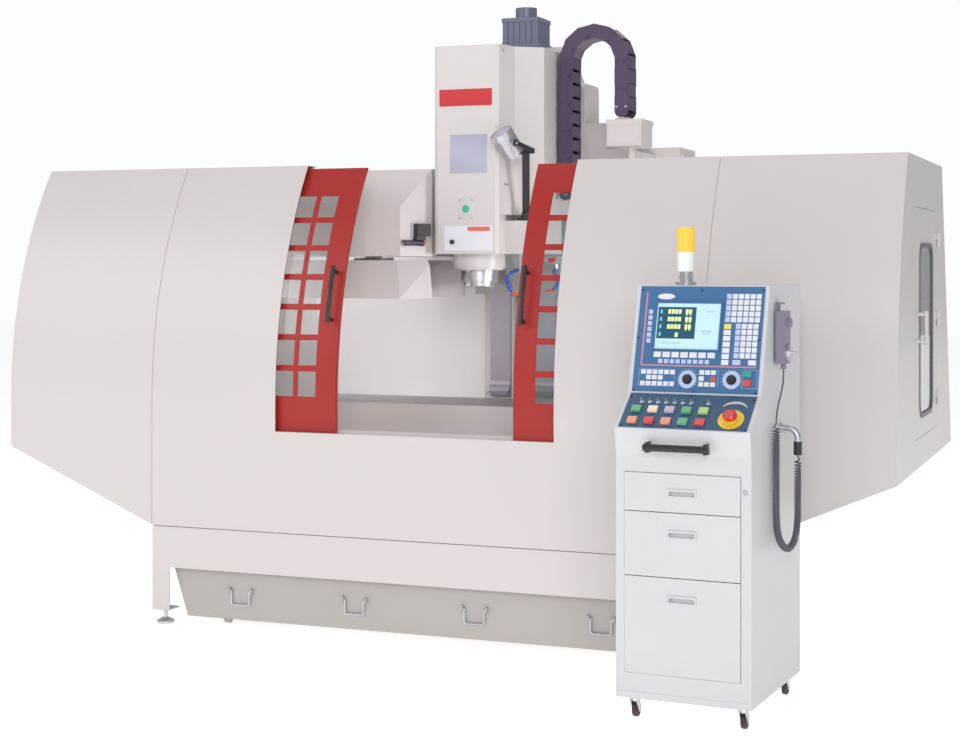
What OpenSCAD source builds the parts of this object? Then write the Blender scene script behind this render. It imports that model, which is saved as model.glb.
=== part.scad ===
// Bed-type milling machine with a curved sliding-door enclosure, a tool magazine and a standing
// control console. Millimetres, +Z up, front of the machine towards -Y.
// The origin lies on the floor, at the centre of the bed's four anchor holes.

/* [Enclosure] */
// Half the width of the middle front panel
panel_half = 1196; // [1180:1:1260]
// How far each wing reaches past the middle panel
wing_reach = 720; // [700:1:760]
// Height of the seam between skirt and front panel
skirt_top = 419; // [400:1:440]
// Height of the skirt's lower edge
skirt_bottom = 243; // [242:1:256]
// How much the underside of a wing rises towards its end
wing_rise = 308; // [260:1:320]
// Height of the top edge of the enclosure
roof_z = 1951; // [1940:1:2000]
// Height at which the front starts to curve back
curve_start = 950; // [930:1:965]
// Radius of the curved front
curve_r = 1816; // [1700:1:2000]
// Distance from the anchor centre forward to the front panel
front_setback = 1200; // [1196:1:1230]
// Depth of the enclosure at its base
enclosure_depth = 1730; // [1700:1:1760]
// How far the rear wall leans forward at the top
rear_lean = 350; // [320:1:365]
// Height of the rear panels between the wings
rear_panel_top = 1768; // [1750:1:1780]
// Thickness of the enclosure's sheet metal
sheet = 3; // [2.5:0.5:4]
// Width of the open joint between panels
seam = 3; // [2:0.5:4]

/* [Doors] */
// Half the width of the door opening
opening_half = 608; // [600:1:640]
// Height of the sill of the door opening
sill_z = 836; // [830:1:850]
// Gap between the fixed panel and a door
door_gap = 22; // [16:1:26]
// Depth of a door's folded edge
door_thick = 24; // [20:1:28]
// Thickness of a door's skin
door_skin = 2.5; // [2:0.5:3]
// How far a closed door reaches behind the fixed panel
door_lap = 32; // [20:1:60]
// How far the left door stands open
left_open = 345; // [200:1:420]
// How far the right door stands open
right_open = 431; // [300:1:460]
// Width of a door window
window_w = 81; // [60:1:84]
// Height of a door window along the curve
window_h = 103; // [80:1:108]
// Width of the bars between windows
window_bar = 22; // [18:1:26]
// Height of the bars between windows along the curve
window_rail = 27; // [20:1:30]
// Width of the meeting stile of a door
stile_w = 91; // [80:1:100]
// Thickness of the window pane
pane_t = 4; // [3:0.5:6]
// Length of the door handle
handle_len = 236; // [180:1:280]

/* [Side door] */
// Front edge of the side door behind the front panel
side_door_start = 480; // [440:1:520]
// Width of the side door
side_door_w = 700; // [660:1:740]
// Height of the side door's lower edge
side_door_z = 845; // [830:1:880]
// Height of the side door
side_door_h = 905; // [860:1:920]
// Gap around the side door
side_door_gap = 2; // [1.5:0.5:3]
// Width of the side window
side_window_w = 405; // [360:1:430]
// Height of the side window
side_window_h = 680; // [640:1:700]
// Corner radius of the side window
side_window_r = 60; // [40:1:80]

/* [Bed, saddle and table] */
// Half the spacing of the anchor holes across the bed
anchor_x = 430; // [425:1:450]
// Half the spacing of the anchor holes along the bed
anchor_y = 600; // [580:1:620]
// Diameter of the anchor holes
anchor_d = 26; // [20:1:32]
// Half the width of the bed casting
bed_half = 380; // [360:1:390]
// Height of the saddle ways above the floor
bed_way_z = 600; // [580:1:610]
// Distance from the anchor centre forward to the spindle axis
spindle_setback = 430; // [420:1:440]
// Length of the saddle along Y
saddle_l = 500; // [460:1:520]
// Height of the table's top face
table_z = 920; // [915:1:950]
// Thickness of the table
table_t = 135; // [120:1:140]
// Length of the table
table_l = 1700; // [1500:10:1760]
// Depth of the table
table_w = 430; // [400:1:440]
// Width of a T-slot's throat
slot_w = 18; // [14:1:22]
// Spacing of the T-slots
slot_pitch = 100; // [80:1:110]
// Diameter of the ball screws
screw_d = 32; // [25:1:36]

/* [Column and head] */
// Half the width of the column
column_half = 200; // [190:1:205]
// Distance from the anchor centre back to the column's front face
column_y = 145; // [140:1:160]
// Height of the column's top
column_top = 2545; // [2500:1:2600]
// Height of the column's foot
column_foot = 640; // [620:1:660]
// Width of a box way on the column
way_w = 101; // [90:1:110]
// Distance from the middle to the centre of a way
way_x = 112; // [108:1:114]
// How far a way stands out from the column
way_t = 20; // [16:1:24]
// Half the width of the head slide
slide_half = 226; // [215:1:240]
// Height of the head slide's lower edge
slide_z = 1386; // [1370:1:1400]
// Height of the head cover's lower edge
head_z = 1572; // [1560:1:1590]
// Height of the head cover's top
head_top = 2476; // [2440:1:2500]
// Height at which the head cover widens
flare_z = 1742; // [1730:1:1760]
// Half the width of the head cover's front
head_half = 134; // [130:1:140]
// Distance from the spindle axis forward to the head cover's front
head_front = 166; // [155:1:170]
// How far the wide part of the head cover reaches to the right
flare_x = 288; // [280:1:290]
// Outer radius of the spindle housing
spindle_housing_r = 119; // [110:1:122]
// Height of the spindle housing's lower face
spindle_housing_z = 1502; // [1495:1:1510]
// Height of the spindle's nose
nose_z = 1432; // [1428:1:1440]
// Radius of the spindle's nose flange
nose_r = 82; // [75:1:88]

/* [Cable chain] */
// Distance from the middle to the moving leg of the chain
chain_x = 335; // [332:1:345]
// Spacing of the two legs of the chain
chain_span = 258; // [240:1:270]
// Height of the bend's centre
chain_bend_z = 2431; // [2400:1:2450]
// Height of a chain link's side plate
link_h = 62; // [50:1:64]
// Width of the chain
chain_w = 130; // [110:1:140]
// Number of links
link_count = 20; // [18:1:22]
// Height of the moving end of the chain
chain_low = 1812; // [1790:1:1820]
// Height of the fixed end of the chain
chain_fixed = 2204; // [2200:1:2215]

/* [Tool changer] */
// Distance from the spindle axis left to the magazine's centre
magazine_x = 515; // [515:1:530]
// Radius of the circle of tool pockets
pocket_circle = 230; // [230:1:243]
// Number of tool pockets
pocket_count = 12; // [8:1:14]
// Height of the tool disc's lower face
disc_z = 1404; // [1400:1:1410]
// Lower edge of the magazine shroud
shroud_z = 1378; // [1370:1:1385]
// Height of the magazine shroud
shroud_h = 167; // [150:1:168]
// How far the shroud draws in towards its top
shroud_taper = 42; // [30:1:50]
// Lower edge of the changer housing
changer_z = 1562; // [1560:1:1570]
// Top of the changer housing
changer_top = 1945; // [1930:1:1950]

/* [Chip tank] */
// Gap between the end of the tank's rim and a leg
tank_gap = 3; // [2:1:30]
// How far the tank's ends slope in towards the floor
tank_slope = 64; // [40:1:80]
// Depth of the tank from front to back
tank_d = 430; // [380:1:440]
// Height of the tank's floor
tank_floor = 37; // [30:1:45]
// Height of the tank's rim
tank_top = 236; // [225:1:238]
// Spacing of the bail handles
bail_pitch = 526; // [480:1:540]
// Width of a bail handle
bail_w = 100; // [80:1:120]
// Length of a bail handle's legs
bail_l = 58; // [45:1:70]

/* [Console] */
// Left front corner of the console along X
console_x = 1099; // [1090:1:1120]
// Gap between the enclosure's front and the console's back
console_gap = 177; // [160:1:220]
// Turn of the console about its left front corner
console_turn = -3.7; // [-6:0.1:0]
// Width of the console
console_w = 468; // [460:1:490]
// Depth of the console
console_d = 612; // [600:1:640]
// Height of the console's underside
console_foot = 80; // [78:1:90]
// Height of the console's top
console_top = 1457; // [1440:1:1480]
// Height of the console's drawer face
face_top = 895; // [880:1:900]
// Height of the desk's front edge
desk_z = 983; // [975:1:995]
// Thickness of the console's sheet metal
console_sheet = 2; // [1.5:0.5:3]
// Diameter of the caster wheels
wheel_d = 50; // [44:1:54]
// Diameter of the emergency stop's head
stop_d = 46; // [36:1:50]

/* [Clearances] */
// Clearance of a bolted or slid-in piece from its seat
seat = 0.3; // [0.2:0.05:0.5]
// Radial running clearance of shafts and pins
run = 0.05; // [0.02:0.01:0.1]

/* [Hidden] */
$fn = 48;
arc_fn = 360;

body_grey = [0.86, 0.85, 0.82];
inner_grey = [0.80, 0.80, 0.79];
door_red = [0.75, 0.12, 0.10];
dark = [0.12, 0.12, 0.13];
steel = [0.70, 0.71, 0.73];
cast_grey = [0.62, 0.63, 0.62];
motor_grey = [0.30, 0.34, 0.38];
glass_tint = [0.80, 0.88, 0.90, 0.5];
panel_blue = [0.16, 0.35, 0.55];

front_y = -front_setback;
spindle_y = -spindle_setback;
wing_end = panel_half + wing_reach;

// Places along Y are given as distances behind the front panel.
function back(d) = front_y + d;

// Extrudes a (Y, Z) outline along X from x0 to x1.
module along_x(x0, x1) {
  at(x0, 0, 0) rotate([90, 0, 90]) linear_extrude(x1 - x0) children();
}

// Extrudes an (X, Z) outline along Y from y0 to y1.
module along_y(y0, y1) {
  at(0, y1, 0) rotate([90, 0, 0]) linear_extrude(y1 - y0) children();
}

// Moves its children to a point.
module at(x, y, z) {
  translate([x, y, z]) children();
}

// A box given by its low and high corners.
module block(a, b) {
  translate(a) cube(b - a);
}

// A rod from x0 to x1 along X.
module rod_x(x0, x1, y, z, r) {
  at(x0, y, z) rotate([0, 90, 0]) cylinder(r = r, h = x1 - x0);
}

// A rod from y0 to y1 along Y.
module rod_y(y0, y1, x, z, r) {
  at(x, y1, z) rotate([90, 0, 0]) cylinder(r = r, h = y1 - y0);
}

module rod_z(z0, z1, x, y, r) {
  at(x, y, z0) cylinder(r = r, h = z1 - z0);
}

module mirrored() {
  children();
  mirror([1, 0, 0]) children();
}

// A rectangle with round corners, centred.
module round_rect(w, h, r) {
  square([w - 2 * r, h], center = true);
  square([w, h - 2 * r], center = true);
  for (x = [-1, 1], y = [-1, 1]) translate([x * (w / 2 - r), y * (h / 2 - r)]) circle(r = r);
}

// ---- Enclosure ----

// Everything behind the curved front, set back by an inset, as a (Y, Z) outline.
module behind_front(inset) {
  translate([front_y + inset, 0]) square([2 * curve_r, curve_start]);
  translate([front_y + curve_r, curve_start]) circle(r = curve_r - inset, $fn = arc_fn);
}

// A strip of the curved front, from height z0 to z1.
module front_strip(inset, thick, z0, z1) {
  intersection() {
    translate([front_y - 1, z0]) square([curve_r, z1 - z0]);
    difference() {
      behind_front(inset);
      behind_front(inset + thick);
    }
  }
}

// How far the front lies behind its foot at a height.
function front_back(z) = z < curve_start ? 0 : curve_r - sqrt(pow(curve_r, 2) - pow(z - curve_start, 2));

// The place of the sloping back of the enclosure at a height.
wing_foot = skirt_top + wing_rise;
function rear_y(z) = back(enclosure_depth - rear_lean * (z - wing_foot) / (roof_z - wing_foot));

// The side outline of the whole enclosure, set in by an inset.
module side_profile(inset) {
  intersection() {
    behind_front(inset);
    polygon([
      [front_y - 1, skirt_top - 1], [rear_y(skirt_top) - inset, skirt_top - 1],
      [rear_y(roof_z) - inset, roof_z - inset], [front_y - 1, roof_z - inset]
    ]);
  }
}

// The room inside a wing, with its sloping underside, set in by an inset.
module wing_room(x0, inset) {
  x1 = wing_end - inset;
  slope = wing_rise / wing_reach;
  intersection() {
    along_x(x0, x1) side_profile(inset);
    along_y(front_y - 2, front_y + 2 * curve_r) polygon([
      [x0, skirt_top + inset + slope * (x0 - panel_half)],
      [x1, skirt_top + inset + slope * (x1 - panel_half)],
      [x1, roof_z + 1], [x0, roof_z + 1]
    ]);
  }
}

lap = 24;
// The lap behind the joint between the middle panel and a wing.
module wing_lap() {
  along_x(panel_half - lap, panel_half + seam + 1) front_strip(sheet + seat, sheet, skirt_top + 40, roof_z - 8);
  along_x(panel_half + seam, panel_half + seam + lap)
    front_strip(sheet / 2, 1.5 * sheet + seat, skirt_top + 40, roof_z - 8);
}

// One wing, to the right: curved front, sloping underside, end wall, roof and sloping back.
module wing() {
  difference() {
    wing_room(panel_half + seam, 0);
    wing_room(panel_half - 1, sheet);
  }
  wing_lap();
}

side_door_y = back(side_door_start);
side_window_y = side_door_y + side_door_w / 2;
side_window_zc = side_door_z + side_window_h / 2 + 80;

module left_wing() color(body_grey) mirror([1, 0, 0]) wing();

module right_wing() color(body_grey) {
  g = side_door_gap;
  jamb = 30;
  difference() {
    wing();
    block([wing_end - sheet - 1, side_door_y - g, side_door_z - g],
      [wing_end + 1, side_door_y + side_door_w + g, side_door_z + side_door_h + g]);
  }
  // the jamb that the side door shuts against
  difference() {
    block([wing_end - sheet - 20 - sheet, side_door_y - jamb, side_door_z - jamb],
      [wing_end - sheet, side_door_y + side_door_w + jamb, side_door_z + side_door_h + jamb]);
    block([wing_end - 200, side_door_y + jamb, side_door_z + jamb],
      [wing_end + 1, side_door_y + side_door_w - jamb, side_door_z + side_door_h - jamb]);
    block([wing_end - sheet - 20, side_door_y - g, side_door_z - g],
      [wing_end + 1, side_door_y + side_door_w + g, side_door_z + side_door_h + g]);
    block([wing_end - sheet - 20, side_door_y - jamb + sheet, side_door_z - jamb + sheet],
      [wing_end - sheet - 17, side_door_y + side_door_w + jamb - sheet,
      side_door_z + side_door_h + jamb - sheet]);
  }
  hinge_fixed();
}

door_inset = sheet + door_gap;
sill_depth = door_inset + door_thick + 14;
door_z = sill_z + seat;
door_top_gap = 13;

module front_panel() color(body_grey) {
  difference() {
    along_x(-panel_half, panel_half) front_strip(0, sheet, skirt_top, roof_z);
    block([-opening_half, front_y - 1, sill_z], [opening_half, front_y + curve_r, roof_z + 1]);
  }
  // lower flange on the skirt
  block([-panel_half, front_y + 1, skirt_top], [panel_half, front_y + 40, skirt_top + sheet]);
  // sill with the rib that guides the doors
  difference() {
    block([-panel_half, front_y + 1, sill_z - sheet], [panel_half, front_y + sill_depth, sill_z]);
    for (x = [-1, 1]) block([x * panel_half - lap - 1, front_y + sheet + 0.01, sill_z - 10],
      [x * panel_half + lap + 1, front_y + 2 * sheet + 1, sill_z + 10]);
  }
  block([-panel_half + lap + 2, front_y + door_inset + door_thick + 0.4, sill_z - 1],
    [panel_half - lap - 2, front_y + door_inset + door_thick + 6, sill_z + 12]);
  // top flange of each fixed panel, with the guide for the door's top edge
  mirrored() {
    flange_y = front_y + front_back(roof_z);
    block([opening_half, flange_y + 1, roof_z - sheet], [panel_half - lap - 1, flange_y + 90, roof_z]);
    along_x(opening_half, panel_half - lap - 1)
      front_strip(door_inset + door_thick + 0.4, 5, roof_z - 40, roof_z - 1);
    // stiffening ribs behind the apron
    for (x = [opening_half + 20, opening_half / 3])
      block([x, front_y + 1, skirt_top + 1], [x + sheet, front_y + 14, sill_z - 1]);
  }
}

leg_w = 83;
tank_half = panel_half - leg_w - tank_gap;
foot_h = 60;
foot_d = 75;
skirt_rear = back(enclosure_depth);

// A welded skirt frame on four angle legs; the chip tank slides out under its front.
module base_frame() color(body_grey) {
  top = skirt_top - seam;
  difference() {
    block([-panel_half, front_y, skirt_bottom], [panel_half, skirt_rear, top]);
    block([-panel_half + sheet, front_y + sheet, skirt_bottom - 1],
      [panel_half - sheet, skirt_rear - sheet, top + 1]);
    block([-bed_half - 130, skirt_rear - 10, skirt_bottom - 1], [bed_half + 130, skirt_rear + 1, top + 1]);
  }
  // top flange with the raised sealing strip under the panels
  difference() {
    block([-panel_half + 1, front_y + 1, top - sheet], [panel_half - 1, skirt_rear - 1, top]);
    block([-panel_half + 42, front_y + 42, top - 20], [panel_half - 42, skirt_rear - 42, top + 1]);
    block([-bed_half - 130, skirt_rear - 50, top - 20], [bed_half + 130, skirt_rear + 1, top + 1]);
  }
  block([-panel_half + 12, front_y + 12, top - 1], [panel_half - 12, front_y + 30, skirt_top]);
  mirrored() {
    block([panel_half - 30, front_y + 31, top - 1], [panel_half - 12, skirt_rear - 31, skirt_top]);
    for (y = [0, 1]) at(panel_half, y == 0 ? front_y : skirt_rear, 0) mirror([0, y, 0]) leg();
  }
}

// An angle leg whose corner stands at the frame's corner, with its foot plate.
module leg() {
  t = 6;
  difference() {
    block([-leg_w, 0, foot_h], [0, leg_w, skirt_bottom + 60]);
    block([-leg_w - 1, t, foot_h + t], [-t, leg_w + 1, skirt_bottom + 61]);
    rod_z(foot_h - 1, foot_h + t + 1, -leg_w / 2, leg_w / 2, 8 + seat);
  }
}

module levelling_feet() color(steel) {
  for (x = [-1, 1], y = [front_y + leg_w / 2, skirt_rear - leg_w / 2])
    at(x * (panel_half - leg_w / 2), y, 0) {
      cylinder(r = foot_d / 2, h = 10);
      at(0, 0, 10) cylinder(r1 = foot_d / 2, r2 = 16, h = 12);
      cylinder(r = 8, h = foot_h + 36);
      at(0, 0, foot_h - 12) cylinder(r = 15, h = 12, $fn = 6);
      at(0, 0, foot_h + 6) cylinder(r = 15, h = 12, $fn = 6);
    }
}

rear_gap = 26;
column_flange = 45;
// Two rear panels in the plane of the wings' backs, cut round the column and the bed.
module rear_panels() color(inner_grey) mirrored() {
  t = sheet;
  difference() {
    along_x(column_half + seat, panel_half + seam - seat) polygon([
      [rear_y(skirt_top + seam) - t, skirt_top + seam], [rear_y(skirt_top + seam), skirt_top + seam],
      [rear_y(rear_panel_top), rear_panel_top], [rear_y(rear_panel_top) - t, rear_panel_top]
    ]);
    block([0, 0, 0], [bed_half + rear_gap, 2000, column_foot + column_flange + rear_gap]);
  }
  // folded top edge
  block([column_half + seat, rear_y(rear_panel_top) - 20, rear_panel_top - t],
    [panel_half - 1, rear_y(rear_panel_top) - 1, rear_panel_top]);
  // posts that carry the panels on the skirt
  z1 = skirt_top + 400;
  for (x = [bed_half + rear_gap + 8, panel_half - 60]) along_x(x, x + 40) polygon([
    [rear_y(skirt_top) - 60, skirt_top], [rear_y(skirt_top) - t, skirt_top],
    [rear_y(z1) - t, z1], [rear_y(z1) - 25, z1]
  ]);
}

// ---- Bed, saddle and table ----

bed_front = back(500);
bed_step = back(1290);
bed_rear = back(1950);
y_screw_z = bed_way_z - 100;
way_bed_x = 240;
way_bed_w = 90;
anchor_pad = 65;

// The cast bed: two box ways in front, the pedestal of the column behind.
module machine_bed() color(cast_grey) difference() {
  union() {
    block([-bed_half, bed_front, 0], [bed_half, bed_rear, bed_way_z - 40]);
    block([-bed_half, bed_step, bed_way_z - 41], [bed_half, bed_rear, column_foot]);
    mirrored() block([way_bed_x, bed_front + 10, bed_way_z - 41],
      [way_bed_x + way_bed_w, bed_step + 1, bed_way_z]);
    for (x = [-1, 1], y = [-1, 1]) at(x * anchor_x, y * anchor_y, 0)
      block([-anchor_pad, -anchor_pad, 0], [anchor_pad, anchor_pad, 45]);
  }
  for (x = [-1, 1], y = [-1, 1]) rod_z(-1, 46, x * anchor_x, y * anchor_y, anchor_d / 2);
  // pockets round the anchor bolts, so that a spanner reaches them
  for (x = [-1, 1], y = [-1, 1]) at(x * anchor_x, y * anchor_y, 45)
    block([-anchor_pad, -anchor_pad, 0], [anchor_pad, anchor_pad, 90]);
  // the trench of the feed screw
  block([-110, bed_front + 45, y_screw_z - 50], [110, bed_step, bed_way_z]);
  rod_y(bed_front - 1, bed_front + 46, 0, y_screw_z, screw_d / 2 + run);
  rod_y(bed_step - 1, bed_step + 25, 0, y_screw_z, screw_d / 2 + run);
  // hollows in the sides between the cast ribs
  for (x = [-1, 1], i = [0 : 2]) at(x * bed_half, bed_front + 190 + i * 210, 260)
    block([-60, 0, 0], [60, 160, 220]);
  // chip slope in the front
  block([-bed_half - 1, bed_front - 1, -1], [bed_half + 1, bed_front + 40, 30]);
}

module y_ball_screw() color(steel) rod_y(bed_front + 1, bed_step + 24, 0, y_screw_z, screw_d / 2);

saddle_y = spindle_y;
saddle_half = 350;
saddle_top = table_z - table_t;
way_top_h = 40;
x_screw_z = saddle_top - 50;
x_way_y = 105;
x_way_w = 70;
motor_w = 140;
channel_w = motor_w + 10;

// The saddle rides on the bed's ways and carries the table's ways and both nuts.
module saddle() color(cast_grey) difference() {
  union() {
    block([-saddle_half, saddle_y - saddle_l / 2, bed_way_z],
      [saddle_half, saddle_y + saddle_l / 2, saddle_top - way_top_h]);
    for (s = [-1, 1]) at(0, saddle_y + s * (x_way_y + x_way_w / 2), 0)
      block([-saddle_half, -x_way_w / 2, saddle_top - way_top_h - 1],
        [saddle_half, x_way_w / 2, saddle_top]);
    // keel between the bed's ways
    block([-way_bed_x + seat, saddle_y - saddle_l / 2, bed_way_z - 25],
      [way_bed_x - seat, saddle_y + saddle_l / 2, bed_way_z + 1]);
    // nut of the Y screw
    block([-45, saddle_y - 20, y_screw_z - 40], [45, saddle_y + 100, bed_way_z + 1]);
  }
  rod_y(saddle_y - 21, saddle_y + 101, 0, y_screw_z, screw_d / 2 + run);
  // the channel that the table's motor runs into, round the nut of the X screw
  difference() {
    block([-saddle_half - 1, saddle_y - channel_w / 2, x_screw_z - channel_w / 2],
      [saddle_half + 1, saddle_y + channel_w / 2, saddle_top]);
    block([-50, saddle_y - 90, x_screw_z - 90], [50, saddle_y + 90, x_screw_z + 40]);
  }
  rod_x(-51, 51, saddle_y, x_screw_z, screw_d / 2 + run);
  // lubrication grooves in the sides
  for (x = [-1, 1]) at(x * saddle_half, saddle_y, bed_way_z + 40)
    block([-12, -saddle_l / 2 + 60, 0], [12, saddle_l / 2 - 60, 50]);
}

slot_foot = 30;
slot_depth = 40;

// One T-slot along the table's top.
module t_slot(y) {
  block([-table_l / 2 - 1, y - slot_w / 2, table_z - slot_depth], [table_l / 2 + 1, y + slot_w / 2, table_z + 1]);
  block([-table_l / 2 - 1, y - slot_foot / 2, table_z - slot_depth],
    [table_l / 2 + 1, y + slot_foot / 2, table_z - slot_depth + 14]);
}

// The table: T-slots and end troughs on top, two gib strips and the screw's end brackets below.
module table() color(body_grey) difference() {
  union() {
    block([-table_l / 2, spindle_y - table_w / 2, saddle_top], [table_l / 2, spindle_y + table_w / 2, table_z]);
    for (s = [-1, 1]) at(0, spindle_y + s * (x_way_y + x_way_w + seat + 10), 0)
      block([-table_l / 2, -10, saddle_top - way_top_h + 5], [table_l / 2, 10, saddle_top + 1]);
    for (s = [-1, 1]) at(s * (table_l / 2 - 20), spindle_y, 0)
      block([-20, -48, x_screw_z - 36], [20, 48, saddle_top + 1]);
  }
  for (i = [-1 : 1]) t_slot(spindle_y + i * slot_pitch);
  rod_x(-table_l / 2 - 1, table_l / 2 + 1, spindle_y, x_screw_z, screw_d / 2 + run);
  // coolant troughs along the long edges
  for (s = [-1, 1]) at(0, spindle_y + s * (table_w / 2 - 22), 0)
    block([-table_l / 2 + 30, -8, table_z - 10], [table_l / 2 - 30, 8, table_z + 1]);
}

module x_ball_screw() color(steel)
  rod_x(-table_l / 2 + 2, table_l / 2 - 2, spindle_y, x_screw_z, screw_d / 2);

// A servo motor along +Z: flange, ribbed body and round cap.
module servo(w, len, cap_r, cap_h) {
  block([-w / 2, -w / 2, 0], [w / 2, w / 2, 18]);
  at(0, 0, 17) linear_extrude(len - 35) difference() {
    round_rect(w - 16, w - 16, 12);
    for (a = [0, 90, 180, 270], i = [-2 : 2]) rotate(a) translate([w / 2 - 8, i * (w - 50) / 5])
      square([8, 7], center = true);
  }
  at(0, 0, len - 19) linear_extrude(19) round_rect(w - 8, w - 8, 14);
  at(0, 0, len - 1) cylinder(r = cap_r, h = cap_h + 1);
  for (a = [45 : 90 : 359]) rotate(a) at(w * 0.62, 0, 18) cylinder(r = 6, h = 8, $fn = 6);
}

z_motor_w = 196;
z_screw_y = column_y + 30;

// The servo motors of the Y screw, on the bed's front, and of the Z screw, on the column.
module axis_motors() color(motor_grey) {
  at(0, bed_front, y_screw_z) rotate([90, 0, 0]) servo(motor_w, 190, 50, 32);
  at(0, z_screw_y, column_top) servo(z_motor_w, 139, 51, 54);
}

module table_motor() color(motor_grey)
  at(table_l / 2, spindle_y, x_screw_z) rotate([0, 90, 0]) servo(motor_w, 230, 50, 50);

// ---- Column and head ----

column_d = 505;
channel_half = 52;
channel_d = 70;
way_front = column_y - way_t;
channel_z0 = column_foot + 260;

// The cast column: two box ways on its front, with the feed screw's channel between them.
module column() color(body_grey) difference() {
  union() {
    block([-column_half, column_y, column_foot], [column_half, column_y + column_d, column_top]);
    block([-column_half - 60, column_y - 10, column_foot],
      [column_half + 60, column_y + column_d, column_foot + column_flange]);
    mirrored() at(way_x, 0, 0)
      block([-way_w / 2, way_front, channel_z0], [way_w / 2, column_y + 1, column_top - 60]);
  }
  block([-channel_half, way_front - 1, channel_z0], [channel_half, column_y + channel_d, column_top - 50]);
  rod_z(column_top - 51, column_top + 1, 0, z_screw_y, screw_d / 2 + run);
  along_x(-column_half - 1, column_half + 1) polygon([
    [z_screw_y + 110, column_top + 1], [column_y + column_d + 1, column_top + 1],
    [column_y + column_d + 1, column_top - 310]
  ]);
  rod_z(channel_z0 - 30, channel_z0 + 1, 0, z_screw_y, screw_d / 2 + run);
  // core holes in the sides and the back
  for (x = [-1, 1], z = [900, 1400, 1900]) at(x * column_half, column_y + column_d / 2, z)
    rotate([0, 90, 0]) cylinder(r = 70, h = 50, center = true);
  for (z = [1150, 1650]) at(0, column_y + column_d, z)
    rotate([90, 0, 0]) cylinder(r = 90, h = 60, center = true);
}

module z_ball_screw() color(steel)
  rod_z(channel_z0 - 29, column_top - 2, 0, z_screw_y, screw_d / 2);

cover_low_half = head_half + 16;
arm_half = head_half - sheet - seat;
arm_front = spindle_y - head_front + sheet + seat;
slide_t = 35;
slide_top = 2020;
cartridge_r = 90;
arm_top = flare_z - 7;
gib_y = way_front + 19;

// The cast head: a slide that embraces the column's ways and an arm that holds the spindle.
module head_casting() color(cast_grey) difference() {
  union() {
    block([-slide_half, way_front - slide_t, slide_z], [slide_half, way_front, slide_top]);
    mirrored() block([way_x + way_w / 2 + seat, way_front - 1, slide_z], [slide_half, gib_y, slide_top]);
    // nut of the Z screw
    block([-40, way_front - 1, 1500], [40, z_screw_y + 30, 1620]);
    block([-arm_half, arm_front, head_z + 8], [arm_half, way_front - slide_t + 1, arm_top]);
    // gusset below the arm
    along_x(-30, 30) polygon([
      [way_front - slide_t + 1, slide_z + 20], [way_front - slide_t + 1, head_z + 9],
      [way_front - slide_t - 230, head_z + 9]
    ]);
  }
  rod_z(head_z - 1, arm_top + 1, 0, spindle_y, cartridge_r + run);
  rod_z(1499, 1621, 0, z_screw_y, screw_d / 2 + run);
}

// The plan of the head cover's wide upper part, set in by an inset.
module cover_plan(inset) {
  c = cover_low_half;
  rear = way_front - slide_t - 4;
  y0 = spindle_y - head_front;
  polygon([
    [-c + inset, rear - inset], [-c + inset, y0 + 10 + inset * 0.6], [-head_half + inset * 0.6, y0 + inset],
    [head_half - inset * 0.6, y0 + inset], [c - inset * 0.9, y0 + 10 + inset * 0.3],
    [c + 29 - inset * 0.9, y0 + 124 + inset * 0.5], [flare_x - inset, y0 + 202 + inset * 0.6],
    [flare_x - inset, rear - inset]
  ]);
}

// The plan of its narrow lower part.
module cover_low_plan(inset) {
  c = cover_low_half;
  y0 = spindle_y - head_front;
  y1 = cover_low_rear;
  polygon([
    [-c + inset, y1 - inset], [-c + inset, y0 + 10 + inset * 0.6], [-head_half + inset * 0.6, y0 + inset],
    [head_half - inset * 0.6, y0 + inset], [c - inset, y0 + 10 + inset * 0.6], [c - inset, y1 - inset]
  ]);
}

lamp_pivot = [240, back(705)];
ledge_z = flare_z - 26;
cover_low_rear = back(1044);
// The sheet-metal cover of the head, open below, with the lamp's and the chain's brackets.
module head_cover() color(body_grey) {
  difference() {
    union() {
      at(0, 0, flare_z) linear_extrude(head_top - flare_z) cover_plan(0);
      at(0, 0, head_z) linear_extrude(flare_z - head_z + 1) cover_low_plan(0);
      // the box beside the lower part, with the lamp's ledge on top
      block([cover_low_half - 1, back(680), head_z], [flare_x, cover_low_rear, ledge_z]);
      block([cover_low_half - 1, back(812), head_z], [flare_x, cover_low_rear, flare_z + 1]);
    }
    at(0, 0, flare_z + sheet) linear_extrude(head_top - flare_z - 2 * sheet) cover_plan(sheet);
    at(0, 0, head_z - 1) linear_extrude(flare_z - head_z + 2 + sheet) cover_low_plan(sheet);
    // the arm passes out through the back of the lower part
    block([-arm_half - seat, spindle_y, head_z - 1], [arm_half + seat, way_front, flare_z + sheet + 1]);
  }
  // pivot pin of the work lamp
  rod_z(ledge_z - 1, ledge_z + 22, lamp_pivot[0], lamp_pivot[1], 8);
  // ledges screwed to the arm
  mirrored() at(0, spindle_y, head_z)
    block([arm_half + seat, -60, 60], [cover_low_half - 1, 60, 90]);
  // chain bracket on the right side
  difference() {
    block([flare_x - 1, back(960), chain_low], [chain_x - link_h / 2 - seat, back(1085), chain_low + 110]);
    block([flare_x + 3, back(950), chain_low + 6], [chain_x - link_h / 2 - 4, back(1095), chain_low + 104]);
  }
}

module spindle_motor() color(motor_grey)
  at(0, spindle_y, arm_top) {
    difference() {
      union() {
        cylinder(r = 105, h = 30);
        at(0, 0, 29) linear_extrude(360) round_rect(200, 200, 40);
        at(0, 0, 388) cylinder(r = 80, h = 60);
      }
      at(0, 0, -1) cylinder(r = 50, h = 12);
    }
  }

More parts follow.
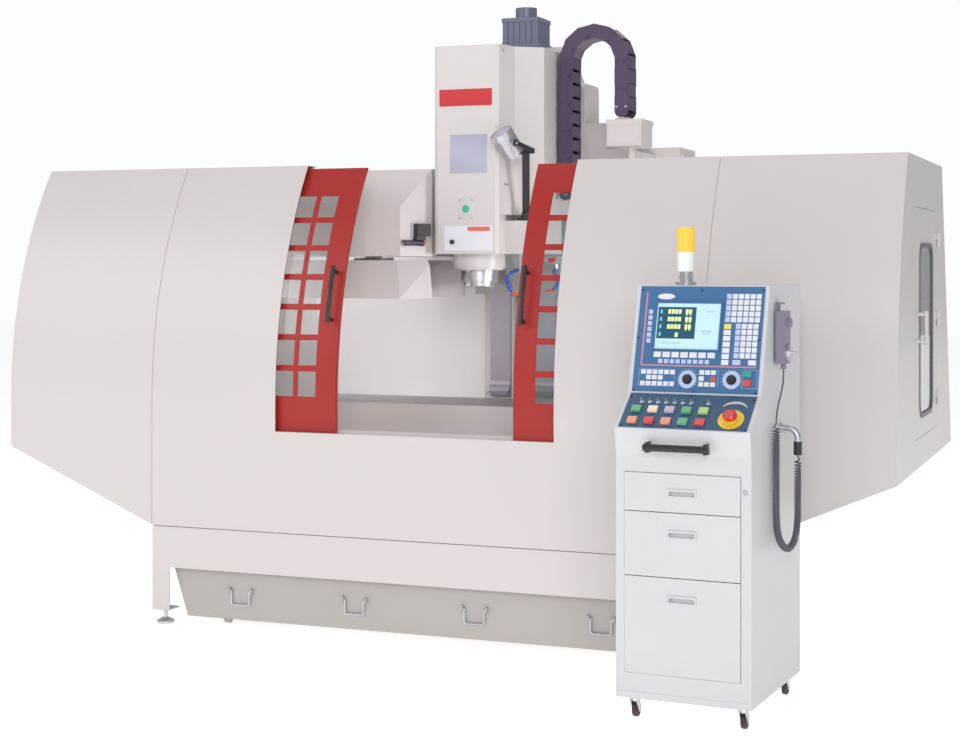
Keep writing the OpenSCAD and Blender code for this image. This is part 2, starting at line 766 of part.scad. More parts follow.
// The spindle's cartridge, with its round housing below the head.
module spindle_housing() color(cast_grey) difference() {
  union() {
    rod_z(spindle_housing_z, head_z + 8, 0, spindle_y, spindle_housing_r);
    rod_z(head_z + 7, arm_top - 4, 0, spindle_y, cartridge_r);
  }
  rod_z(spindle_housing_z - 1, arm_top, 0, spindle_y, 45 + run);
  difference() {
    rod_z(spindle_housing_z - 1, spindle_housing_z + 8, 0, spindle_y, spindle_housing_r + 1);
    rod_z(spindle_housing_z - 2, spindle_housing_z + 9, 0, spindle_y, spindle_housing_r - 10);
  }
}

// The spindle: nose with a 7/24 taper and two drive keys, shaft and draw-bar bore.
module spindle() color(steel) difference() {
  union() {
    rod_z(nose_z, nose_z + 40, 0, spindle_y, nose_r - 12);
    rod_z(nose_z + 22, spindle_housing_z - 1, 0, spindle_y, nose_r);
    rod_z(nose_z + 39, arm_top + 6, 0, spindle_y, 45);
    for (s = [-1, 1]) at(s * 56, spindle_y, nose_z - 8) block([-13, -9, 0], [13, 9, 12]);
  }
  at(0, spindle_y, nose_z - 0.01) cylinder(r1 = 34.9, r2 = 20, h = 102);
  rod_z(nose_z + 100, arm_top + 7, 0, spindle_y, 13);
}

cover_plate_w = 100;
cover_low_z = 917;
// The telescopic covers of the column's ways, turned out in a curve at the foot.
module way_covers() color(steel) mirrored() {
  x0 = way_x - cover_plate_w / 2;
  y1 = way_front - 0.4;
  r = 60;
  along_x(x0, x0 + cover_plate_w) {
    translate([y1 - 3, cover_low_z + r]) square([3, slide_z - cover_low_z - r - seat]);
    intersection() {
      translate([y1 - r, cover_low_z]) square([r, r + 0.1]);
      translate([y1 - r, cover_low_z + r]) difference() {
        circle(r = r, $fn = arc_fn / 2);
        circle(r = r - 3, $fn = arc_fn / 2);
      }
    }
  }
  for (i = [1 : 3]) along_x(x0 + 1, x0 + cover_plate_w - 1)
    translate([y1 - 6, cover_low_z + r + i * 95]) square([3.5, 6]);
}

// ---- Cable chain and service boxes ----

chain_r = chain_span / 2;
chain_right = chain_x + chain_span;
chain_y = back(1022);
leg_up = chain_bend_z - chain_fixed;
leg_down = chain_bend_z - chain_low - link_h / 2;
chain_len = leg_up + PI * chain_r + leg_down;
link_pitch = chain_len / link_count;
link_t = 5;

// A point (x, z) on the chain's centre line, at a length along it from the fixed end.
function chain_at(s) =
  s < leg_up ? [chain_right, chain_fixed + s]
  : s < leg_up + PI * chain_r
    ? let (a = (s - leg_up) / chain_r * 180 / PI)
      [chain_right - chain_r + chain_r * cos(a), chain_bend_z + chain_r * sin(a)]
    : [chain_x, chain_bend_z - (s - leg_up - PI * chain_r)];

// The side plate of a link between two pins.
module link_outline(len) {
  circle(r = link_h / 2);
  translate([len, 0]) circle(r = link_h / 2);
  translate([0, -link_h / 2]) square([len, link_h]);
}

// The lid outside the bend is the longer one.
function z_lid(z) = z < 0 ? 0.94 : 0.78;

// A link: two side plates and two cross bars. Every other link lies outside its neighbours.
module chain_link(i) {
  p = chain_at(i * link_pitch);
  q = chain_at((i + 1) * link_pitch);
  len = norm(q - p);
  outer = i % 2 == 0;
  y0 = chain_w / 2 - (outer ? 0 : link_t + 0.3);
  bar = link_pitch / 2;
  at(p[0], chain_y, p[1]) rotate([0, -atan2(q[1] - p[1], q[0] - p[0]), 0]) {
    for (s = [0, 1]) mirror([0, s, 0]) difference() {
      along_y(y0 - link_t, y0) difference() {
        link_outline(len);
        if (!outer) {
          circle(r = 9);
          translate([len, 0]) circle(r = 9);
        }
      }
    }
    if (outer) for (s = [0, 1], x = [0, len]) mirror([0, s, 0])
      rod_y(y0 - 2 * link_t - 0.3, y0 - link_t + 0.1, x, 0, 8.7);
    for (z = [-1, 1]) at(len / 2, 0, z * (link_h / 2 - 5))
      block([-bar * z_lid(z), -y0 + link_t - 0.1, -4], [bar * z_lid(z), y0 - link_t + 0.1, 4]);
  }
}

module cable_chain() color([0.20, 0.16, 0.22]) for (i = [0 : link_count - 1]) chain_link(i);

box_y = back(1400);
bracket_x = chain_right + 19;
// Junction boxes on the column's right side, and the box that holds the chain's fixed end.
module service_boxes() color(body_grey) {
  block([column_half, box_y, 1780], [741, box_y + 280, 2065]);
  block([column_half, box_y, 2065], [386, box_y + 250, 2187]);
  along_x(column_half, column_half + 80) translate([box_y + 115, 2271]) round_rect(230, 212, 30);
  seat_z = chain_fixed - link_h / 2 - seat;
  difference() {
    union() {
      block([bracket_x - 78, back(935), 2047], [bracket_x + 78, back(1115), 2160]);
      block([bracket_x - 82, back(931), 2140], [bracket_x + 82, back(1119), 2163]);
      block([chain_right - link_h / 2, chain_y - chain_w / 2 + 12, 2162],
        [chain_right + link_h / 2, chain_y + chain_w / 2 - 12, seat_z]);
      block([bracket_x - 4, back(1030), 1990], [bracket_x + 20, back(1054), 2048]);
      block([bracket_x - 4, back(1030), 1990], [bracket_x + 20, box_y, 2030]);
    }
    block([bracket_x - 70, back(925), 2055], [bracket_x + 70, back(935) + 2, 2132]);
  }
}

// ---- Tool changer ----

guide_z = 1640;
guide_dy = 120;
guide_r = 12;
changer_l = -865;
changer_r = -175;
changer_y0 = back(500);
changer_y1 = back(1040);
changer_chamfer = [91, 140];

// The changer's plan with its cut corner, grown or shrunk by an inset.
module changer_plan(inset, cut) {
  polygon([
    [changer_l + inset, changer_y0 + inset + cut],
    [changer_r - changer_chamfer[0] - inset * 0.5 - cut * 0.8, changer_y0 + inset + cut],
    [changer_r - inset, changer_y0 + changer_chamfer[1] + inset * 0.5 + cut * 0.6],
    [changer_r - inset, changer_y1 - inset], [changer_l + inset, changer_y1 - inset]
  ]);
}

module changer_side(inset) {
  polygon([
    [changer_y0 + inset, changer_z - 2 * inset], [changer_y1 - inset, changer_z - 2 * inset],
    [changer_y1 - inset, changer_top - inset], [changer_y0 + 140 + inset * 0.5, changer_top - inset],
    [changer_y0 + inset, 1778 - inset * 0.3]
  ]);
}

// The fixed housing with the magazine's guide rods and the arm that hangs it on the column.
module changer_housing() color(body_grey) {
  difference() {
    intersection() {
      along_x(changer_l, changer_r) changer_side(0);
      at(0, 0, changer_z - 20) linear_extrude(600) changer_plan(0, 0);
    }
    intersection() {
      along_x(changer_l, changer_r) changer_side(sheet);
      at(0, 0, changer_z - 20) linear_extrude(600) changer_plan(sheet, 0);
    }
  }
  for (x = [changer_l + sheet - 0.5, changer_r - sheet - 11.5])
    block([x, spindle_y - guide_dy - 20, guide_z - 30], [x + 12, spindle_y + guide_dy + 20, guide_z + 110]);
  for (s = [-1, 1]) rod_x(changer_l + sheet, changer_r - sheet, spindle_y + s * guide_dy, guide_z, guide_r);
  block([changer_l + sheet, spindle_y - 30, guide_z + 60], [changer_r - sheet, spindle_y + 30, guide_z + 110]);
  block([-480, spindle_y, guide_z + 60], [-380, column_y + 80, guide_z + 110]);
  block([-381, column_y + 5, guide_z + 60], [-column_half, column_y + 80, guide_z + 110]);
}

disc_t = 13;
disc_rim = pocket_circle + 9;
shroud_top = shroud_z + shroud_h;
carriage_x = 36 - magazine_x;
// The carriage on the guide rods, with the shroud round the tool disc.
module magazine_shroud() color(body_grey) {
  difference() {
    hull() {
      at(0, 0, shroud_z) linear_extrude(1) changer_plan(0, 0);
      at(0, 0, shroud_top - 1) linear_extrude(1) changer_plan(0, shroud_taper);
    }
    hull() {
      at(0, 0, shroud_z - 2) linear_extrude(1) changer_plan(sheet, -0.5);
      at(0, 0, shroud_top) linear_extrude(1) changer_plan(sheet, shroud_taper);
    }
    // the way out for the disc, and past the spindle's housing
    block([changer_r - 40, spindle_y - spindle_housing_r - 8, shroud_z - 5],
      [changer_r + 1, changer_y1 - sheet - 5, shroud_top + 5]);
  }
  difference() {
    union() {
      block([changer_l + 1, changer_y0 + shroud_taper + 1, shroud_top - sheet],
        [-magazine_x + 100, changer_y1 - 1, shroud_top]);
      rod_z(shroud_top - sheet, shroud_top + 12, -magazine_x, spindle_y, 90);
      rod_z(shroud_top, guide_z, -magazine_x, spindle_y, 38);
      block([-magazine_x - 100, spindle_y - guide_dy - 30, guide_z - 26],
        [carriage_x, spindle_y + guide_dy + 30, guide_z + 28]);
    }
    for (s = [-1, 1]) rod_x(-magazine_x - 101, carriage_x + 1, spindle_y + s * guide_dy, guide_z, guide_r + run);
    rod_z(shroud_top - sheet - 1, guide_z + 29, -magazine_x, spindle_y, 25 + run);
  }
}

// The indexing disc with open pockets for the tool holders, and its shaft.
module tool_disc() color(steel) difference() {
  union() {
    rod_z(disc_z, disc_z + disc_t, -magazine_x, spindle_y, disc_rim);
    rod_z(disc_z + disc_t - 1, disc_z + 70, -magazine_x, spindle_y, 60);
    rod_z(disc_z - 14, disc_z + 1, -magazine_x, spindle_y, 42);
    rod_z(disc_z + 69, guide_z + 20, -magazine_x, spindle_y, 25);
  }
  for (i = [0 : pocket_count - 1]) at(-magazine_x, spindle_y, 0) rotate(i * 360 / pocket_count) {
    rod_z(disc_z - 1, disc_z + disc_t + 1, pocket_circle, 0, 24);
    rod_z(disc_z - 1, disc_z + disc_t + 1, pocket_circle * 0.62, 0, 18);
  }
}

// ---- Lamp and coolant ----

// A rod between two points.
module rod_between(p, q, r) {
  d = q - p;
  translate(p) rotate([0, acos(d[2] / norm(d)), atan2(d[1], d[0])]) rotate(70)
    cylinder(r = r, h = norm(d));
}

lamp_centre = [212, back(550), 2040];
lamp_turn = -36.25;
lamp_tilt = 37.2;
lamp_half = 60;
lamp_r = 52;
yoke_back = 86;
yoke_drop = -30;

module in_lamp() { translate(lamp_centre) rotate([0, 0, lamp_turn]) children(); }

// The black arm: base on the pivot pin, flat bar, and the yoke that holds the lamp.
module lamp_arm() color(dark) {
  hub_z = ledge_z + seat;
  difference() {
    union() {
      rod_z(hub_z, hub_z + 34, lamp_pivot[0], lamp_pivot[1], 20);
      at(lamp_pivot[0], lamp_pivot[1], hub_z) block([-34, -18, 0], [6, 18, 12]);
    }
    rod_z(hub_z - 1, hub_z + 24, lamp_pivot[0], lamp_pivot[1], 8 + run);
  }
  knuckle = lamp_centre + [-sin(lamp_turn) * (yoke_back + 8), cos(lamp_turn) * (yoke_back + 8), yoke_drop];
  foot = [lamp_pivot[0], lamp_pivot[1], hub_z + 26];
  d = knuckle - foot;
  translate(foot) rotate([0, acos(d[2] / norm(d)), atan2(d[1], d[0])])
    block([-4, -16, 0], [4, 16, norm(d) + 8]);
  in_lamp() {
    rod_x(-13, 13, yoke_back + 8, yoke_drop, 10);
    block([-68, yoke_back, yoke_drop - 11], [68, yoke_back + 8, yoke_drop + 11]);
    for (s = [0, 1]) mirror([s, 0, 0]) difference() {
      union() {
        along_x(60.5, 68) rotate(atan2(yoke_drop, yoke_back)) translate([0, -11])
          square([norm([yoke_back, yoke_drop]) + 2, 22]);
        rod_x(60.5, 68, 0, 0, 14);
      }
      rod_x(60, 69, 0, 0, 6 + run);
    }
  }
}

// The round lamp with a finned body and a raised rim.
module work_lamp() color(steel) in_lamp() {
  rotate([lamp_tilt, 0, 0]) {
    at(0, 0, -lamp_half) cylinder(r = lamp_r - 14, h = 30);
    at(0, 0, -lamp_half + 10) linear_extrude(2 * lamp_half - 34) difference() {
      circle(r = lamp_r - 2);
      for (i = [0 : 23]) rotate(i * 15) translate([lamp_r - 2, 0]) square([7, 5], center = true);
    }
    at(0, 0, lamp_half - 26) difference() {
      cylinder(r = lamp_r, h = 26);
      at(0, 0, 20) cylinder(r = lamp_r - 5, h = 7);
    }
  }
  for (s = [0, 1]) mirror([s, 0, 0]) {
    rod_x(lamp_r - 10, 60, 0, 0, 10);
    rod_x(59, 72, 0, 0, 6);
  }
}

hose_r = 9;
// Half a bead of a segmented hose: a cone that thins towards the next bead.
module bead(p, q) {
  d = q - p;
  translate(p) rotate([0, acos(d[2] / norm(d)), atan2(d[1], d[0])])
    cylinder(r1 = hose_r, r2 = hose_r * 0.6, h = norm(d) * 1.05, $fn = 32);
}

// The pivoted segments of a coolant hose through a list of points.
module hose(points) {
  n = len(points) - 1;
  for (i = [0 : n - 1]) {
    mid = (points[i] + points[i + 1]) / 2;
    bead(mid, points[i]);
    bead(mid, points[i + 1]);
  }
  rod_between(points[0], points[1], hose_r * 0.5);
  rod_between(points[n - 1], points[n] * 2 - points[n - 1], hose_r * 0.5);
}

function hose_arc(cx, cz, r, y, a0, a1, n) =
  [for (i = [0 : n]) let (a = a0 + (a1 - a0) * i / n) [cx + r * cos(a), y, cz + r * sin(a)]];

// Coolant block, bar, manifold and two segmented hoses on the head's right side.
module coolant_hoses() color([0.15, 0.35, 0.70]) {
  y = spindle_y;
  top = head_z - seat;
  block([193, y - 20, 1488], [238, y + 20, top]);
  hose(concat([[214, y, 1490]], hose_arc(181, 1449, 54, y, 56, 268, 10)));
  block([198, back(860), 1536], [345, back(880), 1554]);
  block([300, back(848), 1528], [342, back(892), 1562]);
  block([198, back(852), 1530], [218, back(888), top]);
  rod_z(1508, 1530, 321, back(870), 11);
  rod_y(back(824), back(849), 312, 1545, 12);
  hose(concat([[321, back(870), 1512]], hose_arc(288, 1452, 42, back(870), 58, -92, 7)));
}

// ---- Chip tank ----

tank_y0 = back(40);
tank_y1 = tank_y0 + tank_d;
bail_z = 158;
roller_x = tank_half - 210;
bail_r = 4;
ear_d = 14;

module tank_outline(inset, up) {
  k = tank_slope / (tank_top - tank_floor);
  polygon([
    [-tank_half + inset - k * up, tank_top + up], [tank_half - inset + k * up, tank_top + up],
    [tank_half - tank_slope - inset + k * inset, tank_floor + inset],
    [-tank_half + tank_slope + inset - k * inset, tank_floor + inset]
  ]);
}

function bail_x(i) = (i - 1.5) * bail_pitch;

// The chip tank: a folded trough with sloping ends, a rolled rim, ears for the bails, and rollers.
module chip_tank() color(body_grey) difference() {
  union() {
    difference() {
      along_y(tank_y0, tank_y1) tank_outline(0, 0);
      along_y(tank_y0 + sheet, tank_y1 - sheet) tank_outline(sheet, 1);
    }
    // folded rim
    block([-tank_half + 4, tank_y0 + 1, tank_top - sheet], [tank_half - 4, tank_y0 + 20, tank_top]);
    block([-tank_half + 4, tank_y1 - 20, tank_top - sheet], [tank_half - 4, tank_y1 - 1, tank_top]);
    for (i = [0 : 3], s = [-1, 1]) at(bail_x(i) + s * (bail_w / 2 + 2), tank_y0, bail_z)
      block([-5, -ear_d, -9], [5, 1, 12]);
    // baffles
    for (x = [-1, 1]) block([x * tank_half / 3, tank_y0 + 1, tank_floor + 1],
      [x * tank_half / 3 + sheet, tank_y1 - 1, tank_floor + 120]);
    for (x = [-1, 1], y = [tank_y0 + 90, tank_y1 - 90]) {
      at(x * roller_x, y, 0) {
        for (s = [-16, 11]) block([s, -14, tank_floor - 22], [s + 5, 14, tank_floor + 1]);
        rod_x(-12, 12, 0, (tank_floor - 1) / 2, (tank_floor - 1) / 2);
      }
    }
  }
  for (i = [0 : 3]) at(bail_x(i), tank_y0 - 8, bail_z)
    rod_x(-bail_w / 2 - 8, bail_w / 2 + 8, 0, 0, bail_r + run);
}

// A bail handle: a bent rod whose ends turn in the ears.
module bail(x) {
  y = tank_y0 - 8;
  bend = 12;
  h = bail_w / 2 - 8;
  for (s = [0, 1]) at(x, y, bail_z) mirror([s, 0, 0]) {
    rod_x(h, bail_w / 2 + 5, 0, 0, bail_r);
    at(h, 0, 0) sphere(r = bail_r);
    at(h, 0, 0) rotate([180, 0, 0]) cylinder(r = bail_r, h = bail_l - bend);
    at(h - bend, 0, -bail_l + bend) rotate([90, 0, 0]) rotate([0, 0, -90])
      rotate_extrude(angle = 90) translate([bend, 0]) circle(r = bail_r);
    rod_x(-0.1, h - bend, 0, -bail_l, bail_r);
  }
}

module tank_handle_1() color(steel) bail(bail_x(0));
module tank_handle_2() color(steel) bail(bail_x(1));
module tank_handle_3() color(steel) bail(bail_x(2));
module tank_handle_4() color(steel) bail(bail_x(3));

// ---- Doors ----

door_w = opening_half + door_lap;
door_top = roof_z - door_top_gap;
window_pitch = window_w + window_bar;
row_pitch = window_h + window_rail;
row_start = 34;
door_columns = floor((door_w - stile_w - window_bar) / window_pitch);
door_rows = floor((curve_r * asin((door_top - curve_start) / curve_r) * PI / 180 - row_start - 80) / row_pitch);

// Turns what lies along -Y from the arc's centre up the curved front.
module on_arc(s) {
  at(0, front_y + curve_r, curve_start) rotate([-s / curve_r * 180 / PI, 0, 0]) children();
}

door_r = curve_r - door_inset;
handle_s = 458;
handle_x = 32;

// A sliding door that runs to the right from its meeting edge: folded skin, windows, bow handle.
module sliding_door() {
  difference() {
    along_x(0, door_w) front_strip(door_inset, door_thick, door_z, door_top);
    along_x(door_skin, door_w - door_skin)
      front_strip(door_inset + door_skin, door_thick, door_z + door_skin, door_top - door_skin);
    for (r = [0 : door_rows - 1]) on_arc(row_start + window_h / 2 + r * row_pitch)
      for (c = [0 : door_columns - 1]) {
        x = stile_w + c * window_pitch;
        block([x, -door_r - 5, -window_h / 2], [x + window_w, -door_r + door_thick, window_h / 2]);
      }
  }
  // shoes on the sill
  for (x = [60, door_w - 120]) block([x, front_y + door_inset + 2, door_z],
    [x + 60, front_y + door_inset + door_thick - 1, door_z + 14]);
  // bow handle
  sweep = handle_len / curve_r * 180 / PI;
  on_arc(handle_s - handle_len / 2) at(handle_x, 0, 0) rotate([0, -90, 0])
    rotate([0, 0, -90]) rotate_extrude(angle = sweep, $fn = arc_fn)
      translate([door_r + 42, 0]) circle(r = 9, $fn = 24);
  for (t = [0.07, 0.93]) on_arc(handle_s + (t - 0.5) * handle_len)
    rod_y(-door_r - 44, -door_r + 1, handle_x, 0, 8);
}

module left_door() color(door_red) mirror([1, 0, 0]) at(left_open, 0, 0) sliding_door();
module right_door() color(door_red) at(right_open, 0, 0) sliding_door();

// The clear pane behind a door's windows.
module door_pane() {
  z1 = curve_start + curve_r * sin((row_start + door_rows * row_pitch) / curve_r * 180 / PI) - 14;
  along_x(stile_w - 20, stile_w + door_columns * window_pitch)
    front_strip(door_inset + door_skin + seat, pane_t, curve_start + row_start - 16, z1);
}

module left_door_glass() color(glass_tint) mirror([1, 0, 0]) at(left_open, 0, 0) door_pane();
module right_door_glass() color(glass_tint) at(right_open, 0, 0) door_pane();

hinge_r = 8;
hinge_pin = 4;
hinge_x = wing_end + hinge_r;
hinge_y = side_door_y + side_door_w + side_door_gap / 2;
hinge_h = 60;
function hinge_z(i) = side_door_z + 90 + i * (side_door_h - 180 - hinge_h) / 2;

// The hinges' fixed halves, on the wing.
module hinge_fixed() {
  for (i = [0 : 2]) at(hinge_x, hinge_y, hinge_z(i)) {
    cylinder(r = hinge_r, h = hinge_h / 2 - seat);
    cylinder(r = hinge_pin, h = hinge_h - 4);
    block([-hinge_r - 0.5, 2, 0], [-hinge_r + 3, 30, hinge_h / 2 - seat]);
    block([-hinge_r, 0, 0], [-hinge_r + 3, 3, hinge_h / 2 - seat]);
  }
}

// The side door: folded skin, round-cornered window, pull handle and the hinges' moving halves.
module side_door() color(body_grey) {
  y0 = side_door_y;
  z0 = side_door_z;
  difference() {
    block([wing_end - 20, y0, z0], [wing_end, y0 + side_door_w, z0 + side_door_h]);
    block([wing_end - 21, y0 + sheet, z0 + sheet],
      [wing_end - sheet, y0 + side_door_w - sheet, z0 + side_door_h - sheet]);
    at(wing_end, side_window_y, side_window_zc) rotate([90, 0, 90])
      linear_extrude(20, center = true) round_rect(side_window_w, side_window_h, side_window_r);
  }
  for (i = [0 : 2]) at(hinge_x, hinge_y, hinge_z(i) + hinge_h / 2) difference() {
    union() {
      cylinder(r = hinge_r, h = hinge_h / 2);
      block([-hinge_r - 0.5, -30, 0], [-hinge_r + 3, -2, hinge_h / 2]);
      block([-hinge_r, -3, 0], [-hinge_r + 3, 0, hinge_h / 2]);
    }
    at(0, 0, -1) cylinder(r = hinge_pin + run, h = hinge_h / 2 - 2);
  }
  // pull handle
  at(wing_end, y0 + 85, z0 + 370) {
    for (z = [12, 118]) rod_x(-1, 38, 0, z, 7);
    rod_z(0, 130, 34, 0, 8);
  }
}

// The side window: a pane behind the door's skin and a gasket round the opening.
module side_window() color(glass_tint) at(wing_end, side_window_y, side_window_zc) rotate([90, 0, 90]) {
  at(0, 0, -sheet - seat - 5) linear_extrude(5)
    round_rect(side_window_w + 40, side_window_h + 40, side_window_r + 20);
  difference() {
    at(0, 0, seat) linear_extrude(3)
      round_rect(side_window_w + 16, side_window_h + 16, side_window_r + 8);
    at(0, 0, -1) linear_extrude(6)
      round_rect(side_window_w - 20, side_window_h - 20, side_window_r - 10);
  }
  difference() {
    at(0, 0, -sheet - seat) linear_extrude(sheet + 2 * seat + 0.1)
      round_rect(side_window_w - 2 * seat, side_window_h - 2 * seat, side_window_r - seat);
    at(0, 0, -sheet - 1) linear_extrude(9)
      round_rect(side_window_w - 20, side_window_h - 20, side_window_r - 10);
  }
}

// ---- Console ----

// Puts what is drawn in the console's own (u, v, z) in its place beside the machine.
module on_console() {
  at(console_x, -console_setback, 0) rotate([0, 0, console_turn]) children();
}

console_setback = front_setback + console_gap + console_d;
slope_v = 118;
slope_z = desk_z + 109;
lip_v = -15;
back_v = 221;
desk_angle = atan2(slope_z - desk_z, slope_v - lip_v);
screen_angle = atan2(console_top - slope_z, back_v - slope_v);
desk_len = norm([slope_v - lip_v, slope_z - desk_z]);
screen_len = norm([back_v - slope_v, console_top - slope_z]);

// Local frames of the two sloping faces: x across, y up the face, z outwards.
module on_desk() { on_console() at(0, lip_v, desk_z) rotate([desk_angle, 0, 0]) children(); }
module on_screen() { on_console() at(0, slope_v, slope_z) rotate([screen_angle, 0, 0]) children(); }

drawer_u0 = 31;
drawer_u1 = console_w - 35;
drawer_gap = 1.5;
drawer_deep = 480;
// Lower and upper edge of each drawer, from the top one down.
drawer_z = [[707, 837], [491, 707], [165, 491]];

caster_places = [[45, 60], [console_w - 45, 60], [45, console_d - 45], [console_w - 45, console_d - 45]];
king_r = 6;
dial_places = [[208, 50], [362, 52]];
stop_place = [392, 54];
dial_shaft = 3;
stop_shaft = 8;
panel_t = 3;

// The console's folded cabinet with its drawer bays, handle, caster seats and cord elbow.
module console_cabinet() color([0.90, 0.90, 0.93]) {
  difference() {
    on_console() along_x(0, console_w) polygon([
      [0, console_foot], [0, face_top], [lip_v, desk_z], [slope_v, slope_z],
      [back_v, console_top], [console_d, console_top + 1], [console_d, console_foot]
    ]);
    on_console() {
      for (d = drawer_z) block([drawer_u0 + 6, -1, d[0] + 8], [drawer_u1 - 6, drawer_deep + 20, d[1] - 8]);
      for (d = drawer_z) block([drawer_u0, -1, d[0]], [drawer_u1, 13, d[1]]);
      for (c = caster_places) rod_z(console_foot - 1, console_foot + 20, c[0], c[1], king_r + run);
      // foot recess and the fold lines above the drawers
      block([-1, -1, console_foot + 22], [console_w + 1, 1, console_foot + 24]);
      // lock
      rod_y(-2, 8, console_w - 22, 787, 9);
    }
    on_screen() for (p = dial_places) at(p[0], p[1], -30) cylinder(r = dial_shaft + 4, h = 31);
    on_desk() at(stop_place[0], stop_place[1], -50) cylinder(r = stop_shaft + 4, h = 51);
  }
  on_console() {
    rod_y(-1.5, 8.5, console_w - 22, 787, 8);
    // push handle below the desk
    for (u = [118, 318]) block([u, -44, face_top + 12], [u + 12, -2, face_top + 46]);
    rod_x(112, 336, -42, face_top + 29, 12);
    // elbow and gland of the pendant's cord
    rod_x(console_w - 1, console_w + 27, 345, 970, 11);
    at(console_w + 27, 345, 935) rotate([90, 0, 0])
      rotate_extrude(angle = 90) translate([35, 0]) circle(r = 11);
    rod_z(924, 936, console_w + 62, 345, 11);
    rod_z(880, 925, console_w + 62, 345, 14);
    rod_x(console_w - 1, console_w + 6, 345, 970, 18);
  }
}

// A row of raised keys on a panel.
module keys(x0, y0, columns, rows = 1, dx = 1, dy = 1, w = 17, h = 15, up = 2) {
  for (i = [0 : columns - 1], j = [0 : rows - 1])
    at(x0 + i * dx, y0 + j * dy, 0) block([-w / 2, -h / 2, -0.2], [w / 2, h / 2, up]);
}

// The two control panels: a screen with its bezel and keys above, lit buttons and switches below.
module console_panels() color(panel_blue) {
  on_screen() difference() {
    union() {
      at(14, 5, 0) block([0, 0, seat], [console_w - 28, screen_len - 10, panel_t]);
      at(0, 0, panel_t) {
        keys(332, 259, 6, 5, 20.6, 20.3, 17, 17);
        keys(334, 111, 1, 7, 1, 20.7, 25, 17);
        keys(371, 135, 4, 6, 20.4, 20.3, 17, 17);
        keys(374, 112, 2, 1, 54, 1, 27, 17);
        keys(57.5, 182, 1, 6, 1, 20.2, 15);
        keys(94, 134, 7, 1, 31.8, 1, 26, 19);
        keys(107, 111, 9, 1, 20.6, 1, 15, 14);
        for (y = [33, 73]) keys(50, y, 6, 1, 20.8);
        keys(70, 54, 3, 1, 21);
        for (y = [34, 75]) keys(257, y, 3, 1, 20.5);
        keys(257, 54, 2, 1, 41);
        keys(416, 42, 1, 2, 1, 31, 27, 20, 5);
        for (p = dial_places) at(p[0], p[1], -0.2) cylinder(r = 31, h = 1.4);
        difference() {
          block([73, 147, -0.2], [312, 321, 5]);
          block([79, 153, -3], [306, 315, 6]);
        }
      }
    }
    for (p = dial_places) at(p[0], p[1], -1) cylinder(r = dial_shaft + run, h = 10);
  }
  on_desk() difference() {
    union() {
      at(13, 5, 0) block([0, 0, seat], [console_w - 26, desk_len - 10, panel_t]);
      at(0, 0, panel_t) {
        keys(55, 33, 5, 2, 59, 54, 32, 26, 9);
      }
      for (x = [65, 94, 123, 152, 181, 210, 239, 299]) at(x, 123, panel_t - 0.2) {
        cylinder(r = 7, h = 3);
        at(0, 0, 2) rotate([-18, 0, 0]) cylinder(r = 2.5, h = 15);
      }
      at(stop_place[0], stop_place[1], panel_t - 0.2) cylinder(r = 44, h = 3);
      at(stop_place[0], stop_place[1], panel_t) cylinder(r = 20, h = 10);
    }
    at(stop_place[0], stop_place[1], -1) cylinder(r = stop_shaft + run, h = 20);
  }
}

// A drawer: a front plate with a recessed pull, and an open tray behind it.
module drawer(d) color([0.90, 0.90, 0.93]) on_console() {
  z0 = d[0] + drawer_gap;
  z1 = d[1] - drawer_gap;
  mid = (drawer_u0 + drawer_u1) / 2;
  pull_z = z1 - min(70, (z1 - z0) / 2);
  difference() {
    union() {
      block([drawer_u0 + drawer_gap, -3, z0], [drawer_u1 - drawer_gap, 12, z1]);
      block([mid - 50, -7, pull_z - 13], [mid + 50, 0, pull_z + 13]);
    }
    block([mid - 44, -8, pull_z - 9], [mid + 44, 8, pull_z + 6]);
  }
  difference() {
    block([drawer_u0 + 9, 11, d[0] + 8 + seat], [drawer_u1 - 9, drawer_deep, d[1] - 22]);
    block([drawer_u0 + 9 + console_sheet, 11 + console_sheet, d[0] + 8 + seat + console_sheet],
      [drawer_u1 - 9 - console_sheet, drawer_deep - console_sheet, d[1]]);
  }
}

module drawer_top() drawer(drawer_z[0]);
module drawer_middle() drawer(drawer_z[1]);
module drawer_bottom() drawer(drawer_z[2]);

// A selector dial with a shaft through its panel.
module dial(p) color(dark) on_screen() at(p[0], p[1], 0) {
  at(0, 0, -20) cylinder(r = dial_shaft, h = 22 + panel_t);
  at(0, 0, panel_t + 1.6) cylinder(r = 17, h = 2);
  at(0, 0, panel_t + 2) difference() {
    cylinder(r = 13, h = 14);
    for (a = [0 : 30 : 359]) rotate(a) at(14, 0, 1) cylinder(r = 2, h = 14);
  }
}

module feed_dial() dial(dial_places[0]);
module spindle_dial() dial(dial_places[1]);

stop_travel = 5;
module emergency_stop() color([0.80, 0.10, 0.08]) on_desk() at(stop_place[0], stop_place[1], 0) {
  at(0, 0, -30) cylinder(r = stop_shaft, h = 34 + panel_t + 10 + stop_travel);
  at(0, 0, panel_t + 10 + stop_travel + 1) cylinder(r = stop_d / 2, h = 10);
  at(0, 0, panel_t + 21 + stop_travel) cylinder(r1 = stop_d / 2, r2 = stop_d / 2 - 6, h = 5);
}

light_u = 150;
light_v = 290;
light_r = 30;
module stack_light() color([0.95, 0.80, 0.15]) on_console() {
  z = console_top + 1;
  rod_z(z - 0.2, z + 10, light_u, light_v, light_r + 8);
  rod_z(z + 9, z + 47, light_u, light_v, light_r - 4);
  rod_z(z + 46, z + 114, light_u, light_v, light_r);
  at(light_u, light_v, z + 113) linear_extrude(80) difference() {
    circle(r = light_r + 1);
    for (i = [0 : 17]) rotate(i * 20) translate([light_r + 1, 0]) circle(r = 1.6);
  }
  rod_z(z + 192, z + 198, light_u, light_v, light_r - 1);
}

